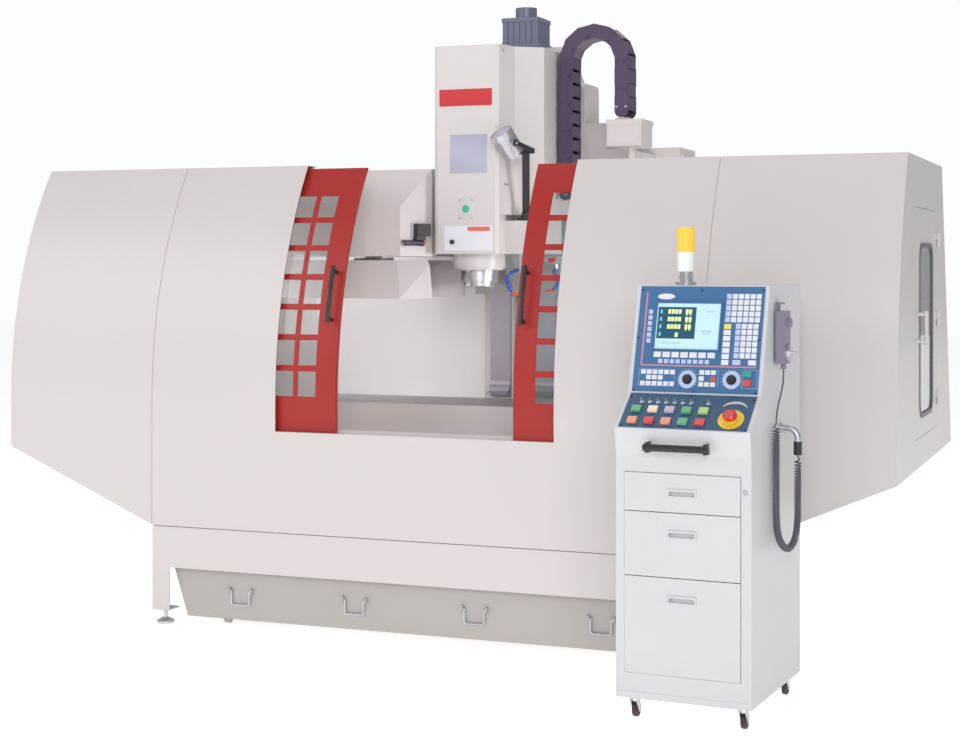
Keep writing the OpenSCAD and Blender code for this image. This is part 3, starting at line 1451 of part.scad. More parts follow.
pendant_v = 302;
pendant_z0 = 1192;
pendant_z1 = 1371;
wheel_z = 1228;
// The hand-held pendant on its hook, with the hand wheel's hub and a selector knob.
module pendant() color(dark) on_console() {
  u0 = console_w + seat;
  difference() {
    union() {
      block([u0 + 6, pendant_v - 38, pendant_z0], [u0 + 38, pendant_v + 38, pendant_z1]);
      block([u0, pendant_v - 22, pendant_z0 + 40], [u0 + 7, pendant_v + 22, pendant_z1 + 24]);
      block([u0, pendant_v - 14, pendant_z1 + 23], [u0 + 26, pendant_v + 14, pendant_z1 + 29]);
      rod_x(u0 + 37, u0 + 52, pendant_v, pendant_z1 - 40, 15);
      rod_z(pendant_z0 - 18, pendant_z0 + 1, console_w + 24, pendant_v, 9);
    }
    rod_x(u0 + 20, u0 + 39, pendant_v, wheel_z, 5 + run);
  }
}

module pendant_dial() color(steel) on_console() {
  u0 = console_w + seat + 38;
  rod_x(u0 - 14, u0 + 1, pendant_v, wheel_z, 5);
  rod_x(u0 + 0.5, u0 + 9, pendant_v, wheel_z, 30);
  rod_x(u0 + 8, u0 + 13, pendant_v, wheel_z, 22);
  rod_x(u0 + 8, u0 + 30, pendant_v + 20, wheel_z, 5);
}

// The cord's route in the console's (u, v, z): a thin lead, then the fat outline of its curls.
lead_route = [
  [492, 302, 1174], [492, 302, 1150], [491, 296, 1120], [488, 280, 1085], [485, 258, 1050], [484, 246, 1020],
  [484, 242, 1000]
];
curl_route = [
  [484, 242, 1000], [484, 240, 960], [484, 239, 900], [484, 238, 840], [484, 238, 780], [484, 239, 720],
  [484, 242, 670], [486, 248, 630], [491, 260, 598], [499, 277, 576], [508, 296, 566], [517, 314, 574],
  [524, 328, 594], [528, 337, 624], [530, 342, 665], [530, 344, 720], [530, 345, 780], [530, 345, 840],
  [530, 345, 880]
];

function unit(v) = v / norm(v);
function heading(p, i) = unit(p[min(i + 1, len(p) - 1)] - p[max(i - 1, 0)]);

// A tube of the given radius along a list of points.
module tube(p, r, sides) {
  n = len(p);
  rings = [for (i = [0 : n - 1]) let (
    t = heading(p, i),
    a = unit(cross(t, [1, 0.2, 0])),
    b = cross(t, a)
  ) for (j = [0 : sides - 1]) p[i] + r * (a * cos(j * 360 / sides) + b * sin(j * 360 / sides))];
  faces = concat(
    [[for (j = [0 : sides - 1]) j]],
    [for (i = [0 : n - 2], j = [0 : sides - 1]) let (k = (j + 1) % sides)
      [i * sides + j, (i + 1) * sides + j, (i + 1) * sides + k, i * sides + k]],
    [[for (j = [sides - 1 : -1 : 0]) (n - 1) * sides + j]]
  );
  polyhedron(points = rings, faces = faces, convexity = 6);
}

module pendant_cord() color(dark) on_console() {
  tube(lead_route, 3.5, 8);
  tube(curl_route, 12.5, 12);
}

caster_trail = 18;
wheel_w = 18;
// A swivel fork: kingpin, top plate, two cheeks and the axle's eyes.
module caster_fork(c) color(steel) on_console() at(c[0], c[1], 0) {
  top = console_foot - seat;
  difference() {
    union() {
      rod_z(top - 1, console_foot + 18, 0, 0, king_r);
      rod_z(top - 9, top, 0, 0, 24);
      for (s = [-1, 1]) along_x(s * (wheel_w / 2 + 2.5) - 1.5, s * (wheel_w / 2 + 2.5) + 1.5) {
        polygon([
          [-18, top - 8], [14, top - 8], [caster_trail + 9, wheel_d / 2], [caster_trail - 9, wheel_d / 2 - 4]
        ]);
        translate([caster_trail, wheel_d / 2]) circle(r = 9);
      }
      rod_x(-wheel_w / 2 - 5, wheel_w / 2 + 5, caster_trail, wheel_d / 2, 4);
    }
    at(-wheel_w / 2 - 1, -30, 0) cube([wheel_w + 2, 12 - 0.5, console_foot - 10]);
  }
}

module caster_wheel(c) color(dark) on_console() at(c[0], c[1] + caster_trail, wheel_d / 2)
  rotate([0, 90, 0]) difference() {
    union() {
      cylinder(r = wheel_d / 2 - 2, h = wheel_w, center = true);
      cylinder(r = wheel_d / 2, h = wheel_w - 5, center = true);
    }
    cylinder(r = 4 + run, h = wheel_w + 2, center = true);
    for (s = [-1, 1]) at(0, 0, s * wheel_w / 2) difference() {
      cylinder(r = wheel_d / 2 - 8, h = 5, center = true);
      cylinder(r = 8, h = 6, center = true);
    }
  }

module caster_fork_1() caster_fork(caster_places[0]);
module caster_fork_2() caster_fork(caster_places[1]);
module caster_fork_3() caster_fork(caster_places[2]);
module caster_fork_4() caster_fork(caster_places[3]);
module caster_wheel_1() caster_wheel(caster_places[0]);
module caster_wheel_2() caster_wheel(caster_places[1]);
module caster_wheel_3() caster_wheel(caster_places[2]);
module caster_wheel_4() caster_wheel(caster_places[3]);

machine_bed();
column();
levelling_feet();
base_frame();
front_panel();
left_wing();
right_wing();
rear_panels();
axis_motors();
service_boxes();
changer_housing();
magazine_shroud();
tool_disc();
y_ball_screw();
x_ball_screw();
z_ball_screw();
saddle();
table();
table_motor();
head_casting();
head_cover();
spindle_motor();
spindle_housing();
spindle();
way_covers();
cable_chain();
lamp_arm();
work_lamp();
coolant_hoses();
chip_tank();
tank_handle_1();
tank_handle_2();
tank_handle_3();
tank_handle_4();
left_door();
left_door_glass();
right_door();
right_door_glass();
side_door();
side_window();
console_cabinet();
console_panels();
drawer_top();
drawer_middle();
drawer_bottom();
feed_dial();
spindle_dial();
emergency_stop();
stack_light();
pendant();
pendant_dial();
pendant_cord();
caster_fork_1();
caster_fork_2();
caster_fork_3();
caster_fork_4();
caster_wheel_1();
caster_wheel_2();
caster_wheel_3();
caster_wheel_4();
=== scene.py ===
# %% [markdown]
# # A bed-type milling machine, finished for a render
# A milling machine is mostly sheet steel, cast iron and ground ways, and the CAD source already has those
# shapes. Blender adds paint, machined grain, rubber, glass, the small plates and screws, and the curly
# lead of the hand pendant. The frame is loaded first and stays where it is, because the motion of the
# slides, doors and drawers belongs to it.

# %% Load the machine as a fixed frame
import bpy
import math
from mathutils import Matrix, Vector


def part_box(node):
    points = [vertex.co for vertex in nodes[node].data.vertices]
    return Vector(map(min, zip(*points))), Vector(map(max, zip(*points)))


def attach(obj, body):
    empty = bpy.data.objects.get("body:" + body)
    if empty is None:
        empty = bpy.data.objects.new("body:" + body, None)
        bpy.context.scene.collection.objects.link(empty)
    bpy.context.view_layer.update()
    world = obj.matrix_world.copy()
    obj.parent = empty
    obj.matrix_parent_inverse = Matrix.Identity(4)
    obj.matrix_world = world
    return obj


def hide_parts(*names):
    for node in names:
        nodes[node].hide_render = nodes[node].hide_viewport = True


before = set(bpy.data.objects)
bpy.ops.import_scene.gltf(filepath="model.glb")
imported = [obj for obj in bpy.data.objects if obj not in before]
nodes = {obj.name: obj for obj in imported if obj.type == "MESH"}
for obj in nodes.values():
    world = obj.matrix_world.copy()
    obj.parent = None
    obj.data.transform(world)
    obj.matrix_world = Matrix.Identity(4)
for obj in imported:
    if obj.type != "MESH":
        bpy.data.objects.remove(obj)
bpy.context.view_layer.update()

# %% [markdown]
# ## The camera
# A long lens from some way off draws a machine with little distortion. The camera is level and its
# picture is shifted down, as a view camera does it, so upright edges stay upright.

# %% Place a level camera with a long lens
LENS_MM = 65.43
PICTURE_SHIFT = -0.1134
CAMERA_PLACE = (2.8047, -7.6078, 1.5345)
CAMERA_TURN = math.radians(21.34)


def new_object(name, data):
    """An object in the scene for its data."""
    made = bpy.data.objects.new(name, data)
    bpy.context.scene.collection.objects.link(made)
    return made


camera_data = bpy.data.cameras.new("studio_camera")
camera_data.lens = LENS_MM
camera_data.sensor_width = 36
camera_data.shift_y = PICTURE_SHIFT
camera_data.clip_end = 200
camera = new_object("studio_camera", camera_data)
camera.location = CAMERA_PLACE
camera.rotation_euler = (math.pi / 2, 0, CAMERA_TURN)
bpy.context.scene.camera = camera
bpy.context.scene.view_settings.view_transform = "Standard"
print("camera at", CAMERA_PLACE)

# %% [markdown]
# ## The console's own axes
# The console stands a little askew beside the machine. Everything on it is easier to place in its own
# axes: u to the right along its front, v towards its back and z up, all from its left front corner.

# %% Axes of the console, its screen face and its desk
CONSOLE_CORNER = Vector((1.099, -1.989, 0))
CONSOLE_TURN = math.radians(-3.7)
SCREEN_FOOT, SCREEN_RISE = (0, 0.118, 1.092), math.atan2(0.365, 0.103)
DESK_FOOT, DESK_RISE = (0, -0.015, 0.983), math.atan2(0.109, 0.133)
console_axes = Matrix.Translation(CONSOLE_CORNER) @ Matrix.Rotation(CONSOLE_TURN, 4, "Z")
screen_axes = console_axes @ Matrix.Translation(SCREEN_FOOT) @ Matrix.Rotation(SCREEN_RISE, 4, "X")
desk_axes = console_axes @ Matrix.Translation(DESK_FOOT) @ Matrix.Rotation(DESK_RISE, 4, "X")
print("console corner", tuple(CONSOLE_CORNER))

# %% [markdown]
# ## The pendant's curly lead
# The hand pendant hangs on a coiled lead: a plain stretch, then just over a hundred turns that hang down,
# swing round and climb to a gland on the console's side. A loop winds a helix round a smooth line through
# a few chosen points, which keeps the turns alike, as the mandrel does when such a cord is made.

# %% Smooth a route through its points
# Points in millimetres, in the console's axes.
LEAD_ROUTE = [(492, 302, 1174), (492, 302, 1150), (491, 296, 1120), (488, 280, 1085), (485, 258, 1050),
              (484, 246, 1020), (484, 242, 1000)]
CURL_ROUTE = [(484, 242, 1000), (484, 240, 960), (484, 239, 900), (484, 238, 840), (484, 238, 780),
              (484, 239, 720), (484, 242, 670), (486, 248, 630), (491, 260, 598), (499, 277, 576),
              (508, 296, 566), (517, 314, 574), (524, 328, 594), (528, 337, 624), (530, 342, 665),
              (530, 344, 720), (530, 345, 780), (530, 345, 840), (530, 345, 880)]


def smooth_line(points, step):
    """Points in metres, about step apart, on a smooth curve through points in millimetres."""
    points = [Vector([c / 1000 for c in p]) for p in points]
    ends = [2 * points[0] - points[1]] + points + [2 * points[-1] - points[-2]]
    line = []
    for a, b, c, d in zip(ends, ends[1:], ends[2:], ends[3:]):
        count = max(2, round((c - b).length / step))
        for i in range(count):
            t = i / count
            line.append(0.5 * (2 * b + (c - a) * t + (2 * a - 5 * b + 4 * c - d) * t * t
                               + (3 * b - a - 3 * c + d) * t ** 3))
    return line + [points[-1]]


def line_length(line):
    return sum((b - a).length for a, b in zip(line, line[1:]))


print("lead", round(line_length(smooth_line(LEAD_ROUTE, 0.002)), 3), "m, curls over",
      round(line_length(smooth_line(CURL_ROUTE, 0.002)), 3), "m")

# %% Wind the helix and lay the cord
CORD_WIRE = 0.006
COIL_RADIUS = 0.0094
COIL_PITCH = 0.0068
POINTS_A_TURN = 14
GROWING_TURNS = 4.0
OPEN_LENGTH = 0.11
OPEN_SHARE = 0.5


def wound(line, radius, pitch, points_a_turn):
    """A helix round a line. From both ends it widens, then turns wide apart, then closely."""
    total = line_length(line)
    wire, side = [], Vector((1, 0, 0))
    steps = int(total / pitch * points_a_turn)
    marks = [0.0]
    for a, b in zip(line, line[1:]):
        marks.append(marks[-1] + (b - a).length)
    here, turn = 0, 0.0
    for i in range(steps + 1):
        along = total * i / steps
        while here < len(line) - 2 and marks[here + 1] < along:
            here += 1
        share = (along - marks[here]) / max(marks[here + 1] - marks[here], 1e-9)
        centre = line[here].lerp(line[here + 1], share)
        forward = (line[min(here + 2, len(line) - 1)] - line[max(here - 1, 0)]).normalized()
        side = (side - forward * side.dot(forward)).normalized()
        t = min(1.0, along / pitch / GROWING_TURNS, (total - along) / pitch / GROWING_TURNS)
        grown = t * t * (3 - 2 * t)
        t = min(1.0, along / OPEN_LENGTH, (total - along) / OPEN_LENGTH)
        closed = OPEN_SHARE + (1 - OPEN_SHARE) * t * t * (3 - 2 * t)
        turn += 2 * math.pi / points_a_turn * grown ** 3 * closed
        sideways = math.cos(turn) * side + math.sin(turn) * forward.cross(side)
        wire.append(centre + radius * grown * sideways)
    return wire


gland_to_curls = [Vector((0.530, 0.345, 0.925)), Vector((0.530, 0.345, 0.905))]
curls = wound(smooth_line(CURL_ROUTE[::-1], 0.004), COIL_RADIUS, COIL_PITCH, POINTS_A_TURN)
cord_points = gland_to_curls + curls + smooth_line(LEAD_ROUTE[::-1], 0.006)[1:]
cord_points = [console_axes @ p for p in cord_points]

# %% [markdown]
# ## Shapes as lists of corners
# Most small pieces are a plate cut from an outline, something turned, or a round tube along a line. Each
# form is a function that gives corners and faces, so several can be joined into one mesh and laid on any
# face of the machine by one matrix. Plates get a bevel, because a real edge is never sharp and a bevel
# catches the light.

# %% Skin over rings of corners, and a tube along a line
CORD_SIDES = 12


def skin_faces(rings, sides):
    """Faces between rings of corners, and one across the first and the last ring."""
    faces = []
    for ring in range(rings - 1):
        for k in range(sides):
            a, b = ring * sides + k, ring * sides + (k + 1) % sides
            faces.append((a, b, b + sides, a + sides))
    return faces + [tuple(range(sides))[::-1], tuple(range((rings - 1) * sides, rings * sides))]


def tube(points, radius, sides=CORD_SIDES):
    """Corners and faces of a closed round tube along points; its ring turns as little as it can."""
    corners, side = [], Vector((1, 0.2, 0.1))
    last = len(points) - 1
    for i, point in enumerate(points):
        forward = (points[min(i + 1, last)] - points[max(i - 1, 0)]).normalized()
        side = (side - forward * side.dot(forward)).normalized()
        across = forward.cross(side)
        corners += [point + radius * (x * side + y * across) for x, y in ring(sides, 1)]
    return corners, skin_faces(len(points), sides)


print("tubes have", CORD_SIDES, "sides")

# %% Plate from an outline, and a turned piece
def rounded(width, height, radius, steps=5):
    """The outline of a rectangle with round corners, centred, anticlockwise."""
    outline = []
    for quarter, (sx, sy) in enumerate(((1, 1), (-1, 1), (-1, -1), (1, -1))):
        for i in range(steps + 1):
            turn = math.pi / 2 * (quarter + i / steps)
            outline.append((sx * (width / 2 - radius) + radius * math.cos(turn),
                            sy * (height / 2 - radius) + radius * math.sin(turn)))
    return outline


def plate(outline, low, high, bevel=0.0004):
    """A flat piece from height low to high, bevelled round its outer edge, from a centred outline."""
    shrink = 1 - bevel / max(max(abs(x), abs(y)) for x, y in outline)
    rings = [(1.0, low), (1.0, high - bevel), (shrink, high)]
    corners = [Vector((x * scale, y * scale, z)) for scale, z in rings for x, y in outline]
    return corners, skin_faces(len(rings), len(outline))


def ring(count, radius, start=0.0):
    """Places round a circle."""
    turns = [2 * math.pi * k / count + start for k in range(count)]
    return [(radius * math.cos(turn), radius * math.sin(turn)) for turn in turns]


def turned(profile, steps=32):
    """A closed solid of revolution about z from a profile of (radius, height), bottom to top."""
    corners = [Vector((x, y, z)) for radius, z in profile for x, y in ring(steps, radius)]
    return corners, skin_faces(len(profile), steps)


print("plates and turned pieces ready")

# %% Move, join and hang a piece on its body
finishes = {}


def moved(shape, x=0.0, y=0.0, z=0.0, turn=0.0):
    """The shape turned about z and moved."""
    step = Matrix.Translation((x, y, z)) @ Matrix.Rotation(turn, 4, "Z")
    return [step @ c for c in shape[0]], shape[1]


def make_piece(name, shapes, axes, body, finish=None, smooth_below=40):
    """One mesh from several shapes, laid on axes, riding on a body and dressed in a finish."""
    corners, faces = [], []
    for shape in shapes:
        start = len(corners)
        corners += [axes @ Vector(c) for c in shape[0]]
        faces += [tuple(start + i for i in face) for face in shape[1]]
    mesh = bpy.data.meshes.new(name)
    mesh.from_pydata(corners, [], faces)
    mesh.validate()
    mesh.shade_smooth()
    mesh.set_sharp_from_angle(angle=math.radians(smooth_below))
    piece = new_object(name, mesh)
    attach(piece, body)
    if finish:
        mesh.materials.append(finishes[finish])
    return piece


cord_tube = tube(cord_points, CORD_WIRE / 2)
curly_cord = make_piece("curly_cord", [cord_tube], Matrix(), "root", smooth_below=80)
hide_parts("pendant_cord")
print("curly cord", len(curly_cord.data.polygons), "faces")

# %% [markdown]
# ## Floor and light
# Machines are lit by large soft boxes, so that flat sheet metal shows an even tone with slow changes
# along its curves. The strongest box shines from the front right into the work room, a weaker one at the
# left softens its shadows, and two more lift the top and the back. Two small ones inside stand for the
# machine's own lights.

# %% Lay the studio floor
FLOOR_HALF = 30
floor_mesh = bpy.data.meshes.new("studio_floor")
floor_corners = [(x * FLOOR_HALF, y * FLOOR_HALF, 0) for x, y in ((-1, -1), (1, -1), (1, 1), (-1, 1))]
floor_mesh.from_pydata(floor_corners, [], [(0, 1, 2, 3)])
studio_floor = new_object("studio_floor", floor_mesh)
print("floor", 2 * FLOOR_HALF, "m wide")

# %% Hang the soft boxes
def soft_box(name, place, target, width, height, power):
    """A large rectangular lamp that faces a point."""
    data = bpy.data.lights.new(name, "AREA")
    data.shape = "RECTANGLE"
    data.size, data.size_y = width, height
    data.energy = power
    lamp = new_object(name, data)
    lamp.location = place
    lamp.visible_camera = False
    lamp.rotation_euler = (Vector(target) - Vector(place)).to_track_quat("-Z", "Y").to_euler()


soft_box("key_box", (5.4, -13.9, 5.0), (0.3, -0.8, 1.1), 6, 4.5, 700)
soft_box("fill_box", (-5.5, -7.5, 5.0), (0, -0.8, 1.0), 6, 4, 160)
soft_box("top_box", (0.0, 0.5, 7.0), (0, -0.4, 1.0), 7, 5, 150)
soft_box("rear_box", (-2.5, 7.0, 4.0), (0, 0, 1.2), 5, 3, 110)
for side in (-1, 1):
    room_place, room_target = (side * 1.35, -0.80, 1.36), (side * -0.1, 0.1, 1.15)
    soft_box(f"room_box_{side + 2}", room_place, room_target, 0.4, 0.5, 10.5)

# %% [markdown]
# ## Effects that several finishes share
# Sheet metal, castings and plastics share a few effects: a fine skin, slow drifts of tone, lines left by
# a tool, a dusting near the floor. Each is one node group, so a finish places it with its own values and
# stays short.

# %% Helpers to build node groups
def fill(node, values):
    """The inputs of a node, each from a value or from a socket to link."""
    for socket, value in values.items():
        if isinstance(value, bpy.types.NodeSocket):
            node.id_data.links.new(value, node.inputs[socket])
        else:
            node.inputs[socket].default_value = value
    return node


def add_node(tree, kind, values=None, **settings):
    """A new node with its settings and its inputs."""
    node = tree.nodes.new("ShaderNode" + kind)
    for setting, value in settings.items():
        setattr(node, setting, value)
    return fill(node, values or {})


def new_group(name, inputs, outputs):
    """An empty group: its tree, the sockets it takes, its result node and a place in the object's axes.

    One number as an input's value makes a plain socket, three a vector and four a colour.
    """
    tree = bpy.data.node_groups.new(name, "ShaderNodeTree")
    for socket, value in inputs.items():
        kind = "Float" if isinstance(value, float) else "Vector" if len(value) == 3 else "Color"
        made = tree.interface.new_socket(socket, in_out="INPUT", socket_type="NodeSocket" + kind)
        made.default_value = value
    for socket in outputs:
        kind = "NodeSocketColor" if socket == "Colour" else "NodeSocketFloat"
        tree.interface.new_socket(socket, in_out="OUTPUT", socket_type=kind)
    takes, results = tree.nodes.new("NodeGroupInput").outputs, tree.nodes.new("NodeGroupOutput")
    return tree, takes, results, add_node(tree, "TexCoord").outputs["Object"]


print("group helpers ready")

# %% Short forms of the nodes that the groups use most
def maths(tree, operation, a, b=0.0, c=0.0):
    """The result socket of one Math node."""
    return add_node(tree, "Math", {0: a, 1: b, 2: c}, operation=operation).outputs[0]


def noise(tree, place, scale, detail=2.0, roughness=0.5):
    """The factor socket of a Noise Texture."""
    return add_node(tree, "TexNoise", {"Vector": place, "Scale": scale, "Detail": detail,
                                       "Roughness": roughness}).outputs["Fac"]


def mixed_colour(tree, share, first, second, blend="MIX"):
    """The colour socket of one Mix node."""
    values = {0: share, 6: first, 7: second}
    return add_node(tree, "Mix", values, data_type="RGBA", blend_type=blend).outputs[2]


def drifted(tree, colour, pattern, amount):
    """A colour made lighter and darker by a pattern round its middle."""
    lift = maths(tree, "MULTIPLY_ADD", maths(tree, "SUBTRACT", pattern, 0.5), amount, 1.0)
    return mixed_colour(tree, 1.0, colour, lift, "MULTIPLY")


print("short forms ready")

# %% [markdown]
# ## Paint skin
# Sprayed enamel is never one flat colour. It drifts by a percent or two from place to place, and its
# surface has a skin of small soft bumps. The group gives the drifting colour, the gloss and the bumps.

# %% Group: paint skin
tree, takes, results, place = new_group(
    "paint_skin", {"Colour": (0.8, 0.8, 0.8, 1), "Drift": 0.03, "Patch Scale": 2.0, "Skin Scale": 700.0},
    ("Colour", "Roughness", "Height"))
patches = noise(tree, place, takes["Patch Scale"], 3)
fill(results, {"Colour": drifted(tree, takes["Colour"], patches, takes["Drift"]),
               "Roughness": maths(tree, "MULTIPLY_ADD", patches, 0.12, 0.32),
               "Height": noise(tree, place, takes["Skin Scale"], 1)})
print("group", tree.name)

# %% [markdown]
# ## Coating grain
# The doors have a thicker coat with a visible grain: small raised grains that catch the light and darker
# hollows between them. Foils and moulded plastic have the same grain, only finer.

# %% Group: coating grain
tree, takes, results, place = new_group(
    "coating_grain", {"Colour": (0.6, 0.05, 0.04, 1), "Hollow Colour": (0.3, 0.02, 0.02, 1),
                      "Grain Scale": 260.0, "Depth": 0.5}, ("Colour", "Roughness", "Height"))
grains = noise(tree, place, takes["Grain Scale"], 3, 0.7)
hollows = add_node(tree, "MapRange", {"Value": grains, "From Min": 0.62, "From Max": 0.36,
                                      "To Min": 0.0, "To Max": takes["Depth"]}).outputs[0]
fill(results, {"Colour": mixed_colour(tree, hollows, takes["Colour"], takes["Hollow Colour"]),
               "Roughness": maths(tree, "MULTIPLY_ADD", grains, 0.25, 0.3), "Height": grains})
print("group", tree.name)

# %% [markdown]
# ## Tool lines
# Ground ways, rolled cover plates and turned rings keep the direction in which they were worked. Noise
# stretched along one direction gives the fine lines, and a coarser layer the broad bands.

# %% Group: tool lines
tree, takes, results, place = new_group(
    "tool_lines", {"Colour": (0.6, 0.6, 0.62, 1), "Line Stretch": (4.0, 900.0, 900.0), "Contrast": 0.15,
                   "Gloss": 0.3}, ("Colour", "Roughness", "Height"))
stretched = add_node(tree, "VectorMath", {0: place, 1: takes["Line Stretch"]}, operation="MULTIPLY")
lines = noise(tree, stretched.outputs[0], 1.0, 3, 0.6)
worked = maths(tree, "MULTIPLY_ADD", noise(tree, place, 9.0, 2), 0.4, maths(tree, "MULTIPLY", lines, 0.6))
fill(results, {"Colour": drifted(tree, takes["Colour"], worked, takes["Contrast"]),
               "Roughness": maths(tree, "MULTIPLY_ADD", lines, 0.2, takes["Gloss"]), "Height": lines})
print("group", tree.name)

# %% [markdown]
# ## Floor dust
# Whatever stands in a workshop is a little duller near the floor. The group mixes a dust colour into a
# low band of height, broken up by noise, and leaves everything above it alone.

# %% Group: floor dust
tree, takes, results, place = new_group(
    "floor_dust", {"Colour": (0.8, 0.8, 0.8, 1), "Dust Colour": (0.42, 0.38, 0.35, 1), "Reach": 0.25,
                   "Amount": 0.25}, ("Colour", "Dust"))
height = add_node(tree, "SeparateXYZ", {0: place}).outputs["Z"]
low = add_node(tree, "MapRange", {"Value": height, "From Min": takes["Reach"], "From Max": 0.0}).outputs[0]
patchy = maths(tree, "MULTIPLY", low, noise(tree, place, 14.0, 4, 0.65))
dust = maths(tree, "MULTIPLY", patchy, takes["Amount"])
fill(results, {"Colour": mixed_colour(tree, dust, takes["Colour"], takes["Dust Colour"]), "Dust": dust})
print("group", tree.name)

# %% [markdown]
# ## Making a finish
# A finish is one material: a Principled shader whose steady numbers sit on its own sockets, fed by the
# groups for what changes over the surface. The bumps go through a Bump node, with the grain's height as
# its distance.

# %% Helpers to make materials
def new_finish(name, values):
    """The Principled shader of a new material, with its steady values; the material is kept by its name."""
    material = finishes[name] = bpy.data.materials.new(name)
    material.use_nodes = True
    return fill(material.node_tree.nodes["Principled BSDF"], values)


def place_group(tree, group, values):
    """One of the effect groups, with its own values."""
    return add_node(tree, "Group", values, node_tree=bpy.data.node_groups[group])


def feed(shader, group, values, bump, distance=0.0002):
    """Colour, roughness and bumps of an effect group into a shader."""
    tree = shader.id_data
    effect = place_group(tree, group, values).outputs
    raised = add_node(tree, "Bump", {"Height": effect["Height"], "Strength": bump, "Distance": distance})
    fill(shader, {"Base Color": effect["Colour"], "Roughness": effect["Roughness"],
                  "Normal": raised.outputs[0]})
    return effect


def rgb(red, green, blue):
    """A colour as a maker reads it from a screen, 0 to 255, turned into linear light."""
    return tuple(((c / 255 + 0.055) / 1.055) ** 2.4 if c > 10 else c / 255 / 12.92
                 for c in (red, green, blue)) + (1,)


print("material helpers ready")

# %% Enamel, worked metal and moulded plastic
def painted(name, colour, drift=0.05, patch=2.0, bump=0.12, dust=0.0, coat=0.15):
    """Sprayed enamel on sheet or castings."""
    shader = new_finish(name, {"Coat Weight": coat, "Coat Roughness": 0.25})
    values = {"Colour": rgb(*colour), "Drift": drift, "Patch Scale": patch}
    skin = feed(shader, "paint_skin", values, bump, 0.00025)
    if dust:
        low = place_group(shader.id_data, "floor_dust", {"Colour": skin["Colour"], "Amount": dust})
        fill(shader, {"Base Color": low.outputs["Colour"]})
    return shader


def machined(name, colour, stretch=(4, 900, 900), contrast=0.3, gloss=0.22, bump=0.15):
    """Bare metal with the lines of its tool."""
    values = {"Colour": rgb(*colour), "Line Stretch": stretch, "Contrast": contrast, "Gloss": gloss}
    feed(new_finish(name, {"Metallic": 1.0}), "tool_lines", values, bump, 0.0001)


def moulded(name, colour, grain=500.0, bump=0.2, hollow=0.7, depth=0.25, coat=0.0):
    """Moulded plastic or rubber with a fine even grain, darker by the share hollow between the grains."""
    shader = new_finish(name, {"Coat Weight": coat, "Coat Roughness": 0.1})
    full = rgb(*colour)
    dark = tuple(c * hollow for c in full[:3]) + (1,)
    values = {"Colour": full, "Hollow Colour": dark, "Grain Scale": grain, "Depth": depth}
    feed(shader, "coating_grain", values, bump)
    return shader


print("kinds of finish ready")

# %% [markdown]
# ## The finishes
# The sheet metal is a warm off-white enamel, the doors a red coat with a grain, the castings a flatter
# grey, and what slides is bare. Each finish is made once and given to every node that has it.

# %% Enamels
painted("body_enamel", (206, 200, 198), dust=0.35)
painted("end_enamel", (204, 200, 202), dust=0.2)
painted("tank_enamel", (174, 169, 165), dust=0.55)
painted("head_enamel", (208, 203, 201))
painted("casting_enamel", (172, 172, 172), drift=0.12, patch=6, bump=0.6)
# Painted light: the rear panels get a paler copy of the body's enamel, so that the shaded work room looks
# lit.
painted("interior_enamel_lightened", (226, 222, 223))
painted("motor_enamel", (106, 109, 134), bump=0.3)
painted("console_enamel", (204, 204, 208), dust=0.3)
print("enamels made")

# %% Coats, plastics and rubber
moulded("door_coat", (172, 38, 32), grain=420, bump=0.5, hollow=0.55, depth=0.5)
moulded("black_satin", (38, 38, 42), grain=600)
moulded("chain_plastic", (76, 60, 88), grain=300, bump=0.3)
moulded("hose_plastic", (58, 98, 190), bump=0.15)
moulded("hose_nozzle", (224, 112, 44), bump=0.15)
moulded("cord_rubber", (98, 93, 104), grain=700)
moulded("wheel_rubber", (62, 42, 50), bump=0.3)
moulded("panel_foil", (58, 106, 152), grain=900, bump=0.1, hollow=0.85, coat=0.1)
moulded("desk_foil", (36, 78, 112), grain=900, bump=0.1, hollow=0.85, coat=0.1)
moulded("stop_red", (205, 44, 32), bump=0.05, coat=0.4)
moulded("stop_yellow", (236, 196, 52), bump=0.05, coat=0.2)
print("plastics made")

# %% Keys and lit buttons
def key_plastic(name, colour, glow):
    """A key or lit cap: smooth moulded plastic, a little bright by itself when a lamp is behind it."""
    fill(moulded(name, colour, grain=700, bump=0.08, hollow=0.9, coat=0.2),
         {"Emission Color": rgb(*colour), "Emission Strength": glow})


KEY_PLASTICS = (
    ("key_white", (222, 224, 232), 0), ("key_lilac", (188, 196, 228), 0),
    ("key_yellow", (226, 214, 110), 0), ("key_red", (216, 74, 76), 0), ("key_green", (44, 160, 134), 0),
    ("dial_pale", (184, 200, 232), 0), ("button_green", (96, 166, 124), 0.1),
    ("button_cream", (238, 220, 186), 0.1), ("button_lilac", (186, 170, 200), 0.1),
    ("button_lime", (170, 200, 124), 0.1), ("button_salmon", (222, 150, 118), 0.1),
)
for key in KEY_PLASTICS:
    key_plastic(*key)
print("keys made")

# %% Screen, prints, lenses and signs
PRINTS_AND_LENSES = (
    ("screen_pale", (190, 224, 230), 0.12), ("readout_dark", (12, 76, 104), 0.05),
    ("readout_cyan", (90, 190, 210), 0.3), ("page_grey", (168, 196, 208), 0.2),
    ("readout_lime", (214, 232, 150), 0.5), ("print_pink", (196, 132, 152), 0),
    ("print_silver", (196, 194, 204), 0), ("print_pale", (160, 180, 220), 0),
    ("lens_white", (236, 236, 232), 0.05), ("lens_yellow", (246, 200, 70), 0.1),
    ("lens_green", (52, 172, 136), 0.1),
)
for coat in PRINTS_AND_LENSES:
    key_plastic(*coat)
painted("sign_lilac", (176, 176, 196), drift=0.03)
painted("sign_red", (196, 40, 46), drift=0.03)
painted("sign_orange", (222, 104, 84), drift=0.03)
painted("hatch_white", (224, 224, 230), drift=0.03)
moulded("pendant_grey", (134, 127, 146), grain=600, bump=0.25)
moulded("valve_purple", (70, 56, 84), bump=0.1, coat=0.2)
